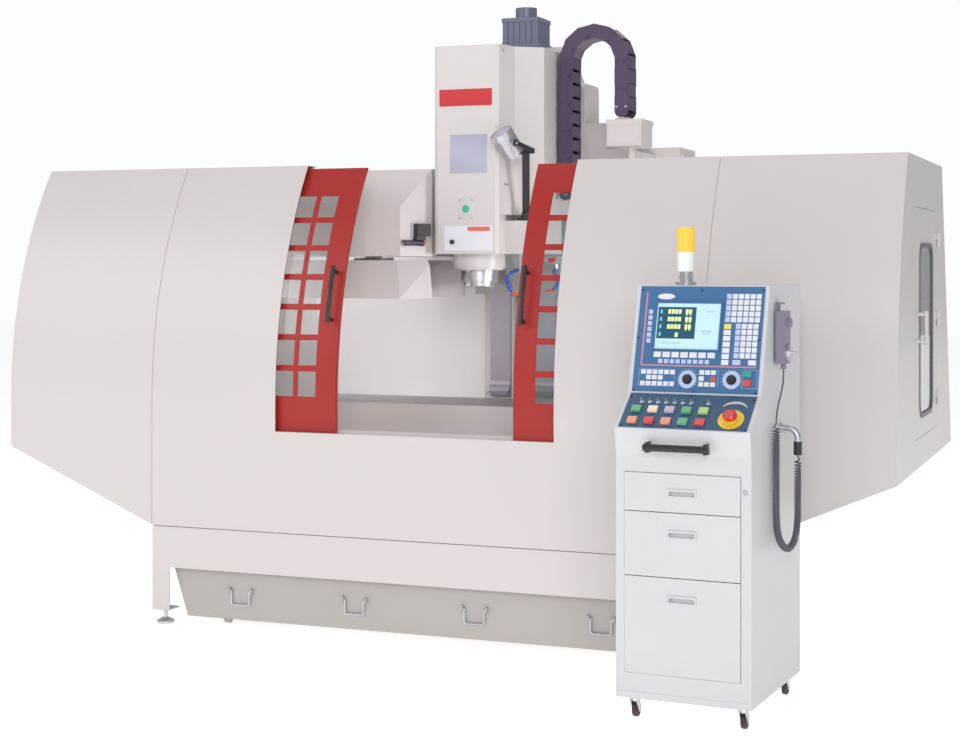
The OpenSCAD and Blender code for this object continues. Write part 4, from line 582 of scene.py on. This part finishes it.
moulded("cap_orange", (226, 150, 110), bump=0.1, coat=0.2)
print("prints and lenses made")

# %% Bare metals
machined("ground_steel", (186, 186, 192), gloss=0.18)
machined("cover_steel", (196, 193, 204), stretch=(3, 500, 500), gloss=0.3, contrast=0.25)
machined("table_iron", (176, 173, 176), stretch=(3, 400, 400), gloss=0.32)
machined("turned_iron", (190, 190, 196), stretch=(300, 300, 900), gloss=0.28)
machined("zinc_plate", (196, 198, 204), stretch=(60, 60, 60), gloss=0.28, contrast=0.4)
machined("lamp_alloy", (206, 206, 212), stretch=(200, 200, 200), gloss=0.25)
machined("chrome", (214, 214, 220), stretch=(40, 40, 40), gloss=0.06, contrast=0.1, bump=0.02)
print("metals made")

# %% [markdown]
# ## Glass
# The door and side windows are clear polycarbonate with a faint grey cast. Full transmission and a little
# roughness are enough for panes this flat.

# %% Window pane
new_finish("window_pane", {"Base Color": rgb(236, 240, 240), "Transmission Weight": 1.0, "IOR": 1.45,
                           "Roughness": 0.04})
print("glass made")

# %% [markdown]
# ## Give every node its finish
# A node that is one finish all over takes it whole. A node made of several, such as the stack light, gets
# a slot for each, and a small rule says from the middle of each face which slot that face is in. The
# rules use the node's own terms, such as a height on the console, so they would hold for a finer mesh
# too.

# %% Helpers that dress nodes
def dress(finish, *names):
    """One finish for whole nodes."""
    for name in names:
        nodes[name].data.materials.clear()
        nodes[name].data.materials.append(finishes[finish])


def dress_by_rule(name, coats, rule):
    """Several finishes on one node: rule gives the number of the finish from a face's middle and normal."""
    mesh = nodes[name].data
    mesh.materials.clear()
    for finish in coats:
        mesh.materials.append(finishes[finish])
    for face in mesh.polygons:
        face.material_index = rule(face.center, face.normal)
    return [sum(face.material_index == i for face in mesh.polygons) for i in range(len(coats))]


def numbered(stem, count=4):
    """The names of like nodes: stem_1, stem_2 and so on."""
    return [f"{stem}_{i}" for i in range(1, count + 1)]


print("dressing helpers ready")

# %% Whole nodes
dress("body_enamel", "base_frame", "front_panel", "left_wing", "right_wing", "service_boxes",
      "changer_housing", "magazine_shroud", "side_door")
dress("head_enamel", "head_cover", "spindle_housing")
# The rear panels take the paler enamel, which stands in for light in the work room.
dress("interior_enamel_lightened", "rear_panels")
dress("casting_enamel", "machine_bed", "saddle", "head_casting")
dress("motor_enamel", "axis_motors", "table_motor", "spindle_motor")
dress("ground_steel", "tool_disc", "y_ball_screw", "x_ball_screw", "z_ball_screw")
dress("cover_steel", "way_covers")
dress("chain_plastic", "cable_chain")
dress("black_satin", "lamp_arm", "feed_dial", "spindle_dial")
dress("pendant_grey", "pendant")
dress("lamp_alloy", "work_lamp", "pendant_dial")
dress("tank_enamel", "chip_tank")
dress("zinc_plate", "levelling_feet", *numbered("tank_handle"), *numbered("caster_fork"))
dress("wheel_rubber", *numbered("caster_wheel"))
dress("window_pane", "left_door_glass", "right_door_glass")
dress("console_enamel", "drawer_top", "drawer_middle", "drawer_bottom")
dress("cord_rubber", "pendant_cord")
curly_cord.data.materials.append(finishes["cord_rubber"])
print("whole nodes dressed")

# %% [markdown]
# ## Doors with black handles
# The red coat covers the folded door and the handle is black plastic. Whatever stands in front of the
# door's curved skin is handle, so the rule measures each face's distance from the axis of that curve. The
# skin itself is measured above the handles.

# %% Dress the sliding doors
CURVE_RADIUS = 1.816
CURVE_START = 0.950
ABOVE_HANDLES = CURVE_START + 0.6
front_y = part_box("front_panel")[0][1]
curve_axis = Vector((0, front_y + CURVE_RADIUS, CURVE_START))


def from_curve_axis(place):
    """Distance from the axis of the curved front, which lies along x."""
    return math.hypot(place.y - curve_axis.y, place.z - curve_axis.z)


def door_rule(place, normal):
    return int(place.z > CURVE_START and from_curve_axis(place) > door_skin + 0.0015)


for name in ("left_door", "right_door"):
    corners = [v.co for v in nodes[name].data.vertices]
    door_skin = max(from_curve_axis(c) for c in corners if c.z > ABOVE_HANDLES)
    print(name, "faces red and black", dress_by_rule(name, ("door_coat", "black_satin"), door_rule))

# %% [markdown]
# ## Table, column and spindle
# A machine table is painted on its sides and ground on top, and the slots are bare too. The ways of the
# column are ground where the head slides on them, and the spindle is bright inside its taper.

# %% Dress the table, the column and the spindle
SPINDLE_AXIS = (0, -0.430)
TAPER_MOUTH = 0.036
COLUMN_FRONT = 0.145
SLOTS_DEEP = 0.05
table_low, table_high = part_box("table")


def table_rule(place, normal):
    below_top = table_high[2] - place.z
    inside = table_low[1] + 0.002 < place.y < table_high[1] - 0.002
    on_top = below_top < 0.001 or below_top < 0.045 and abs(normal.y) < 0.9
    return int(on_top or inside and below_top < SLOTS_DEEP)


def column_rule(place, normal):
    return int(place.y < COLUMN_FRONT - 0.001)


def spindle_rule(place, normal):
    return int(math.hypot(place.x - SPINDLE_AXIS[0], place.y - SPINDLE_AXIS[1]) < TAPER_MOUTH)


print("table", dress_by_rule("table", ("body_enamel", "table_iron"), table_rule))
print("column", dress_by_rule("column", ("body_enamel", "ground_steel"), column_rule))
print("spindle", dress_by_rule("spindle", ("turned_iron", "ground_steel"), spindle_rule))

# %% [markdown]
# ## Stack light
# A chrome foot and stem, a white translucent ring and a fluted yellow lens stand on one another, so
# height alone tells them apart.

# %% Dress the stack light
WHITE_FROM, YELLOW_FROM = 0.0465, 0.1135
light_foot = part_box("stack_light")[0][2]


def light_rule(place, normal):
    height = place.z - light_foot
    return int(height >= WHITE_FROM) + int(height >= YELLOW_FROM)


print("stack light", dress_by_rule("stack_light", ("chrome", "lens_white", "lens_yellow"), light_rule))

# %% [markdown]
# ## The console's small parts
# The cabinet's push handle is black, the elbow of the pendant's lead is grey zinc and its gland black. On
# the two panels every key is a small block on the foil, and its place in the panel's own axes gives its
# colour.

# %% Dress the cabinet
to_console = console_axes.inverted()
CONSOLE_WIDTH = 0.468
LOCK_AT = (0.446, 0.787)
CABINET_COATS = ("console_enamel", "black_satin", "zinc_plate")


def cabinet_rule(place, normal):
    here = to_console @ place
    if here.y < -0.017 and here.z < 0.945:
        return 1
    if here.x > CONSOLE_WIDTH + 0.0005:
        return 1 if here.z < 0.9255 else 2
    on_lock = abs(here.x - LOCK_AT[0]) < 0.009 and abs(here.z - LOCK_AT[1]) < 0.009
    return 2 if here.y < -0.0005 and on_lock else 0


print("cabinet", dress_by_rule("console_cabinet", CABINET_COATS, cabinet_rule))

# %% Colours of the keys, by place on the panels
to_screen, to_desk = screen_axes.inverted(), desk_axes.inverted()
PANEL_TOP = 0.003
DIALS = ((208, 50), (362, 52))
STOP_AT = (392, 54)
PANEL_COATS = ("panel_foil", "desk_foil", "key_white", "key_lilac", "key_yellow", "key_red", "key_green",
               "dial_pale", "button_green", "button_cream", "button_lilac", "button_lime", "button_salmon",
               "stop_yellow", "zinc_plate")
SLOT = {finish: i for i, finish in enumerate(PANEL_COATS)}
DESK_BUTTONS = (("button_salmon", "key_red", "button_salmon", "button_green", "key_red"),
                ("button_green", "button_cream", "button_lilac", "button_green", "button_lime"))


def screen_key(x, y):
    """The finish of what stands on the upper panel, in millimetres from its lower left corner."""
    if any(math.hypot(x - u, y - v) < 31.5 for u, v in DIALS):
        return "dial_pale"
    if x > 400 and y < 90:
        return "key_green" if y > 57 else "key_red"
    if 285 < x < 310 and 46 < y < 62:
        return "key_red"
    if 320 < x < 348 and 226 < y < 244:
        return "key_yellow"
    if x < 66 and y > 170 or x < 280 and 96 < y < 119:
        return "key_lilac"
    if 320 < x < 346 and y > 250 or 346 < x < 382 and 100 < y < 250:
        return "key_lilac"
    return "key_white"


# %% Dress the panels, the stop and the knobs
def panel_rule(place, normal):
    on_upper, on_lower = to_screen @ place, to_desk @ place
    if place.z > SCREEN_FOOT[2] + 0.004 and abs(on_upper.z) < 0.02 and on_upper.y > 0.003:
        x, y = on_upper.x * 1000, on_upper.y * 1000
        bezel = 72 < x < 313 and 146 < y < 322
        return 0 if on_upper.z < PANEL_TOP + 0.0003 or bezel else SLOT[screen_key(x, y)]
    x, y = on_lower.x * 1000, on_lower.y * 1000
    if on_lower.z < PANEL_TOP + 0.0003:
        return SLOT["desk_foil"]
    if math.hypot(x - STOP_AT[0], y - STOP_AT[1]) < 44.5:
        return SLOT["stop_yellow"]
    if y > 108:
        return SLOT["zinc_plate"]
    column = min(4, max(0, round((x - 55) / 59)))
    return SLOT[DESK_BUTTONS[int(y > 60)][column]]


print("panels", dress_by_rule("console_panels", PANEL_COATS, panel_rule))
dress("stop_red", "emergency_stop")

# %% [markdown]
# ## Coolant hoses and the side window
# The hoses are strings of blue beads that start at a zinc block with a red valve knob and end in an
# orange nozzle. The side window is a clear pane with a black rubber profile round the opening.

# %% Dress the hoses and the side window
FRONT_HOSE, REAR_HOSE = (0.181, 1.449), (0.288, 1.452)
HOSE_COATS = ("hose_plastic", "hose_nozzle", "zinc_plate", "stop_red")
pane_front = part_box("side_window")[0][0] + 0.005


def hose_rule(place, normal):
    """Beads 0, nozzle 1, zinc 2 and knob 3, by the angle round each hose's bend and by height."""
    x, y, z = place
    if y < -0.39:
        turn = math.degrees(math.atan2(z - FRONT_HOSE[1], x - FRONT_HOSE[0])) % 360
        return 2 if z > 1.4885 and x > 0.192 else int(240 < turn < 300)
    if z > 1.5275 or (y > -0.3515 and x < 0.22 and z > 1.529):
        return 3 if y < -0.3525 else 2
    turn = math.degrees(math.atan2(z - REAR_HOSE[1], x - REAR_HOSE[0]))
    return 2 if z > 1.5075 else int(turn < -58)


def window_rule(place, normal):
    return int(place.x > pane_front + 0.00005)


print("hoses", dress_by_rule("coolant_hoses", HOSE_COATS, hose_rule))
print("side window", dress_by_rule("side_window", ("window_pane", "cord_rubber"), window_rule))

# %% [markdown]
# ## Plates and marks on the head
# On the front of the head lie a plain red plate and a plain lilac one, a round green lens in a plate with
# four screws, and a cover with an orange bar and a small black knob. They ride on the head and rise and
# fall with it.

# %% Axes of the head's faces
def facing(out, place, up=(0, 0, 1)):
    """Axes for pieces on a face: x goes across it, y up it and z out of it."""
    across = Vector(up).cross(Vector(out))
    return Matrix(((*across, 0), (*up, 0), (*out, 0), (*place, 1))).transposed()


HEAD_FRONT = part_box("head_cover")[0][1]
head_axes = facing((0, -1, 0), (0, HEAD_FRONT, 0))


def sheet(name, axes, place, size, finish, body="head", corner=0.004, low=0.0, high=0.0012):
    """A thin painted plate with round corners on a face, by its middle and size."""
    shape = moved(plate(rounded(*size, corner), low, high), *place)
    make_piece(name, [shape], axes, body, finish)


def screws(name, axes, places, radius, height, body="root", low=0.0, finish="turned_iron"):
    """Socket-head screws on a face, all one mesh."""
    head = turned([(radius, low), (radius, low + height * 0.8), (radius * 0.9, low + height),
                   (radius * 0.5, low + height), (radius * 0.45, low + height * 0.4)], 20)
    make_piece(name, [moved(head, x, y) for x, y in places], axes, body, finish)


print("front of the head at y", HEAD_FRONT)

# %% Signs, lens and cover on the head
CORNERS = ((-1, -1), (-1, 1), (1, -1), (1, 1))
LENS_AT = (0, 1.767)
KNOB_AT = (-0.061, 1.624)
sheet("head_sign_red", head_axes, (-0.002, 2.2495), (0.245, 0.073), "sign_red", corner=0.003)
sheet("head_sign_lilac", head_axes, (0.0115, 2.005), (0.173, 0.168), "sign_lilac", corner=0.003)
sheet("lens_plate", head_axes, LENS_AT, (0.070, 0.093), "head_enamel", high=0.0016)
sheet("head_hatch", head_axes, (0.0115, 1.640), (0.225, 0.108), "hatch_white", high=0.002)
sheet("hatch_bar", head_axes, (0.060, 1.680), (0.102, 0.018), "sign_orange", "head", 0.002, 0.002, 0.0032)
dome = turned([(0.0165, 0), (0.0165, 0.0035), (0.015, 0.005), (0.0125, 0.0078), (0.007, 0.0094),
               (0.002, 0.0098)])
make_piece("head_lens", [moved(dome, *LENS_AT)], head_axes, "head", "lens_green")
knob = turned([(0.009, 0.002), (0.008, 0.004), (0.008, 0.010), (0.010, 0.011), (0.010, 0.016),
               (0.008, 0.0175), (0.002, 0.018)])
make_piece("hatch_knob", [moved(knob, *KNOB_AT)], head_axes, "head", "black_satin")
places = [(sx * 0.028, LENS_AT[1] + sy * 0.039) for sx, sy in CORNERS]
screws("lens_screws", head_axes, places, 0.004, 0.0045, "head")

# %% Screws on the two sides of the head cover
COVER_HALF, BEHIND_FRONT = 0.150, 0.010
SIDE_SCREWS = ((0.026, 2.450), (0.040, 1.873), (0.060, 1.873))
FLARE = math.atan2(0.114, 0.029)
flat_side = facing((-1, 0, 0), (-COVER_HALF, HEAD_FRONT + BEHIND_FRONT, 0))
screws("head_side_screws_1", flat_side, [(-sx, sz) for sx, sz in SIDE_SCREWS], 0.005, 0.004, "head")
flared_side = facing((math.sin(FLARE), -math.cos(FLARE), 0), (COVER_HALF, HEAD_FRONT + BEHIND_FRONT, 0))
screws("head_side_screws_3", flared_side, SIDE_SCREWS, 0.005, 0.004, "head")
print("head dressed")

# %% [markdown]
# ## Lens of the work lamp
# A pale pane, turned and slightly domed, closes the lamp's mouth inside its rim. It rides on the lamp, so
# it follows every tilt.

# %% The lamp's pane
LAMP_AXES = (Matrix.Translation((0.212, -0.650, 2.040)) @ Matrix.Rotation(math.radians(-36.25), 4, "Z")
             @ Matrix.Rotation(math.radians(37.2), 4, "X"))
PANE_DEPTH = 0.0545
lamp_pane = turned([(0.0465, 0), (0.0465, 0.001), (0.0460, 0.0016), (0.030, 0.0019), (0.004, 0.0020)], 40)
lamp_pane = moved(lamp_pane, z=PANE_DEPTH)
make_piece("lamp_pane", [lamp_pane], LAMP_AXES, "work_lamp", "sign_lilac")
print("lamp pane set")

# %% [markdown]
# ## Valve block beside the tool changer
# A small pneumatic valve hangs on the slanted side of the changer: a black body, a dark cylinder under
# it and an orange cap at its end.

# %% The valve and its cap
CYLINDER_START, CYLINDER_LENGTH = (-0.080, 1.620, 0.016), 0.108
slant_axes = facing((0.838, -0.545, 0), (-0.2205, -0.630, 0))
upper_block = moved(plate(rounded(0.070, 0.050, 0.004), 0.0, 0.034, 0.0015), 0.022, 1.678)
lower_block = moved(plate(rounded(0.050, 0.022, 0.003), 0.0, 0.028, 0.0015), 0.010, 1.643)
make_piece("valve_block", [upper_block, lower_block], slant_axes, "root", "black_satin")
cylinder_axes = slant_axes @ Matrix.Translation(CYLINDER_START) @ Matrix.Rotation(math.pi / 2, 4, "Y")
cylinder = turned([(0.010, 0), (0.0125, 0.002), (0.0125, 0.014), (0.0115, 0.015), (0.0115, 0.088),
                   (0.0135, 0.089), (0.0135, 0.106), (0.010, CYLINDER_LENGTH)], 28)
make_piece("valve_cylinder", [cylinder], cylinder_axes, "root", "valve_purple")
cap = turned([(0.008, 0), (0.009, 0.0015), (0.009, 0.010), (0.006, 0.012), (0.002, 0.0122)], 24)
cap = moved(cap, z=CYLINDER_LENGTH)
make_piece("valve_cap", [cap], cylinder_axes, "root", "cap_orange")
print("valve made")

# %% [markdown]
# ## What the console shows
# The screen shows a pale page with a dark readout, where plain bars stand for figures and plain blocks
# for the marks beside them. A pink line runs down the left of the page and along below it, and a plain
# white oval lies where a badge would be. Round the dials there are short ticks.

# %% Prints and thin patches
def on_panel(name, shapes, axes, finish):
    """Printed or let-in shapes on a panel, all one mesh in one finish."""
    make_piece(name, shapes, axes, "root", finish)


def patch(x0, y0, x1, y1, low, high, corner=0.8):
    """A thin rectangle from millimetres on a panel."""
    width, height = (x1 - x0) / 1000, (y1 - y0) / 1000
    outline = rounded(width, height, min(corner / 1000, width / 2.1, height / 2.1), 3)
    return moved(plate(outline, low, high, 0.0001), (x0 + x1) / 2000, (y0 + y1) / 2000)


print("patches ready")

# %% Screen page and readout
FIGURE_ROWS, FIGURE_PLACES, POINT_PLACE = 4, 7, 4
ROW_STEP, FIGURE_STEP = 26.5, 12.5
LIT = (0.0040, 0.0043, 0.5)
PAGE_RULES = ((228, 285, 232), (254, 283, 284), (240, 214, 280), (246, 206, 274), (92, 172, 96),
              (104, 172, 172))
on_panel("screen_page", [patch(80, 154, 305, 314, 0.0030, 0.0036, 1.5)], screen_axes, "screen_pale")
on_panel("readout", [patch(84, 190, 220, 301, 0.0036, 0.0040, 1)], screen_axes, "readout_dark")
figures, marks = [], []
for row in range(FIGURE_ROWS):
    y = 198 + row * ROW_STEP
    marks.append(patch(92, y + 1, 99, y + 14, *LIT))
    for place in range(FIGURE_PLACES if row else 0):
        if place == POINT_PLACE:
            continue
        x = 120 + place * FIGURE_STEP
        figures.append(patch(x, y, x + 9.5, y + 15, *LIT))
        if place > POINT_PLACE:
            figures.append(patch(x + 1, y - 5, x + 8, y - 2, *LIT))
figures.append(patch(150, 196, 160, 211, *LIT))
on_panel("readout_figures", figures, screen_axes, "readout_lime")
on_panel("readout_marks", marks, screen_axes, "readout_cyan")
on_panel("page_rules", [patch(x0, y0, x1, y0 + 7, 0.0036, 0.0039, 0.5) for x0, y0, x1 in PAGE_RULES],
         screen_axes, "page_grey")
print("screen page with", len(figures), "figures")

# %% Printed lines and boxes round the keys
PRINT = (0.0030, 0.0033)
LINE = 1.2
on_panel("printed_line", [patch(36, 94, 42, 352, *PRINT), patch(38, 94, 444, 99, *PRINT)], screen_axes,
         "print_pink")
boxes = []
for x0, y0, x1, y1 in ((34, 24, 162, 84), (262, 30, 316, 82), (398, 24, 450, 88)):
    boxes += [patch(x0, y, x1, y + LINE, *PRINT, 0.3) for y in (y0, y1 - LINE)]
    boxes += [patch(x, y0, x + LINE, y1, *PRINT, 0.3) for x in (x0, x1 - LINE)]
on_panel("printed_boxes", boxes, screen_axes, "print_pale")
print(len(boxes), "box edges printed")

# %% Oval, screws, ticks round the dials and the arc over the stop
OVAL = (0.031, 0.0105)
TICKS, TICK_CIRCLE = 13, 35.5
oval = [(x * OVAL[0], y * OVAL[1]) for x, y in ring(40, 1)]
on_panel("badge_oval", [moved(plate(oval, 0.003, 0.0038, 0.0003), 0.108, 0.338)], screen_axes, "key_white")
places = [(x / 1000, y / 1000) for x in (20, 234, 448) for y in (9, 190, 361) if x != 234 or y != 190]
screws("panel_screws", screen_axes, places, 0.0034, 0.0018, "root", PANEL_TOP, "black_satin")
places = [(x / 1000, y / 1000) for x in (20, 448) for y in (10, 150)]
screws("desk_screws", desk_axes, places, 0.0034, 0.0018, "root", PANEL_TOP, "black_satin")
outline = [(-0.0006, -0.0022), (0.0006, -0.0022), (0.0006, 0.0022), (-0.0006, 0.0022)]
ticks, tick = [], plate(outline, *PRINT, 0.0001)
for u, v in DIALS:
    for k in range(TICKS):
        turn = math.radians(-30 + 20 * k)
        ticks.append(moved(tick, (u + TICK_CIRCLE * math.cos(turn)) / 1000,
                           (v + TICK_CIRCLE * math.sin(turn)) / 1000, 0, turn - math.pi / 2))
on_panel("dial_ticks", ticks, screen_axes, "key_white")
angles = [math.radians(a) for a in range(15, 166, 10)]
arc = [(0.043 * math.cos(a), 0.034 * math.sin(a) - 0.016) for a in angles]
arc += [(-x * 0.93, y * 0.62 - 0.004) for x, y in arc]
on_panel("desk_arc", [moved(plate(arc, 0.003, 0.0042, 0.0002), 0.392, 0.122)], desk_axes, "print_silver")
print("prints laid")

# %% [markdown]
# ## Screws at the end of the chain
# Two bright screws hold the chain's fixed end on its bracket.

# %% Chain end screws
chain_axes = facing((0, -1, 0), (0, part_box("cable_chain")[0][1], 0))
screws("chain_screws", chain_axes, [(0.571, 2.220), (0.615, 2.220)], 0.006, 0.004)
print("chain screws set")

# %% [markdown]
# ## Screws of the spindle
# Socket screws hold the housing's ring to the head and the nose cap to the spindle, and those of the nose
# turn with it. Small heads tell the eye how big the machine is.

# %% Rings of screws under the head
NOSE_HEIGHT = 0.030


def looking_down(height):
    """Axes for pieces under a face round the spindle's axis."""
    return facing((0, 0, -1), (*SPINDLE_AXIS, height), (0, -1, 0))


housing_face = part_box("spindle_housing")[0][2]
nose_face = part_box("spindle")[0][2] + NOSE_HEIGHT
screws("housing_screws", looking_down(housing_face), ring(8, 0.098, 0.2), 0.0055, 0.004, "head")
screws("nose_screws", looking_down(nose_face), ring(6, 0.0762), 0.0045, 0.004, "spindle")
print("screws round the spindle: 14")

# %% [markdown]
# ## The back and the sides
# The back is plain sheet and iron, so its fasteners carry the detail: hexagon bolts on the column's foot,
# round covers over core holes, screws along the rear panels, and a cover and louvres on the electrical
# box.

# %% Bolts on the foot of the column
def hexagon_bolt(x, y, z):
    """A washer, a hexagon head and its chamfer, standing on a face."""
    washer = turned([(0.0155, 0), (0.0155, 0.0016), (0.0145, 0.0022)], 28)
    head = turned([(0.0130, 0.0020), (0.0130, 0.0105), (0.0112, 0.0125)], 6)
    return [moved(washer, x, y, z), moved(head, x, y, z, 0.3)]


column_low, column_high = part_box("column")
FOOT_TOP = column_low[2] + 0.045
bolts = []
for side in (-1, 1):
    for y in (0.20, 0.34, 0.48, 0.61):
        bolts += hexagon_bolt(side * (column_high[0] - 0.028), y, FOOT_TOP)
make_piece("column_bolts", bolts, Matrix(), "root", "turned_iron", 30)
print("bolts on the foot", len(bolts) // 2)

# %% Covers over the core holes
def core_cover(name, axes, radius):
    """A round cover in a core hole, with its six screws."""
    disc = turned([(radius, 0), (radius, 0.003), (radius - 0.0015, 0.0045), (radius * 0.5, 0.0047),
                   (0.002, 0.0048)], 48)
    make_piece(name, [disc], axes, "root", "head_enamel")
    screws(name + "_screws", axes, ring(6, radius - 0.012), 0.005, 0.004, low=0.0045)


# Faces of the side and the back covers, and how far the side covers lie before the column's back.
SIDE_CORE_FACE, BACK_CORE_FACE, TO_SIDE_CORES = 0.175, column_high[1] - 0.030, 0.2525
for level in (1.150, 1.650):
    core_cover(f"back_cover_{level * 100:.0f}", facing((0, 1, 0), (0, BACK_CORE_FACE, level)), 0.086)
for level in (0.900, 1.400, 1.900):
    for side in (-1, 1):
        place = (side * SIDE_CORE_FACE, column_high[1] - TO_SIDE_CORES, level)
        core_cover(f"side_cover_{side + 2}_{level * 100:.0f}", facing((side, 0, 0), place), 0.066)
print("core holes covered")

# %% Screws along the rear panels
panel_corners = [v.co for v in nodes["rear_panels"].data.vertices]
panel_top = max(v.z for v in panel_corners)
top_y = max(v.y for v in panel_corners if v.z > panel_top - 0.001)
low_y = max(v.y for v in panel_corners)
low_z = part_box("rear_panels")[0][2]
slope = Vector((0, top_y - low_y, panel_top - low_z))
climb = slope.normalized()
rear_axes = facing((0, climb.z, -climb.y), (0, low_y, low_z), climb)
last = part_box("rear_panels")[1][0] - 0.02
places = [(side * x, slope.length - 0.015) for side in (-1, 1) for x in (0.26, 0.50, 0.74, 0.98, last)]
places += [(side * last, d) for side in (-1, 1) for d in (0.06, 0.35, 0.65, 0.95)]
screws("rear_screws", rear_axes, places, 0.007, 0.0045, finish="zinc_plate")
print("rear panels", len(places), "screws")

# %% Cover and louvres of the electrical box
box_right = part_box("service_boxes")[1][0]
BOX_Y, BOX_DEEP, BOX_LOW, BOX_HIGH = 0.200, 0.280, 1.780, 2.065
BOX_MIDDLE, COVER_THICK = (BOX_LOW + BOX_HIGH) / 2, 0.002
box_axes = facing((1, 0, 0), (box_right, BOX_Y + BOX_DEEP / 2, BOX_MIDDLE))
cover_size = (BOX_DEEP - 0.05, BOX_HIGH - BOX_LOW - 0.05)
sheet("box_cover", box_axes, (0, 0), cover_size, "head_enamel", "root", 0.006, high=COVER_THICK)
screws("box_screws", box_axes, [(sx * 0.103, sy * 0.105) for sx, sy in CORNERS], 0.005, 0.0035,
       low=COVER_THICK, finish="zinc_plate")
back_axes = facing((0, 1, 0), (0.470, BOX_Y + BOX_DEEP, BOX_MIDDLE))
louvres = [moved(plate(rounded(0.150, 0.010, 0.004), 0, 0.004, 0.003), sx * 0.1, row * 0.022 - 0.066)
           for sx in (-1, 1) for row in range(7)]
make_piece("box_louvres", louvres, back_axes, "root", "body_enamel", 50)
print("electrical box with", len(louvres), "louvres")

# %% [markdown]
# ## The floor and the air
# The floor is plain pale paint that glows a little, as a white cove does, so that it stays pale under the
# machine. The air is white too, but it lights the machine more weakly than it looks, or no side would be
# darker than another.

# %% Paint the floor and fill the air
FLOOR_GLOW = 0.58
AIR_SEEN, AIR_LIGHT = 1.0, 0.38
fill(painted("studio_paint", (250, 250, 250), drift=0.01, coat=0),
     {"Emission Color": (1, 1, 1, 1), "Emission Strength": FLOOR_GLOW})
studio_floor.data.materials.append(finishes["studio_paint"])
surroundings = bpy.data.worlds.new("studio_air")
surroundings.use_nodes = True
air = surroundings.node_tree
seen = add_node(air, "LightPath").outputs["Is Camera Ray"]
strength = add_node(air, "MapRange", {"Value": seen, "To Min": AIR_LIGHT, "To Max": AIR_SEEN}).outputs[0]
fill(air.nodes["Background"], {"Color": (0.98, 0.985, 1.0, 1), "Strength": strength})
bpy.context.scene.world = surroundings
print("dressed", sum(bool(n.data.materials) for n in nodes.values()), "nodes")
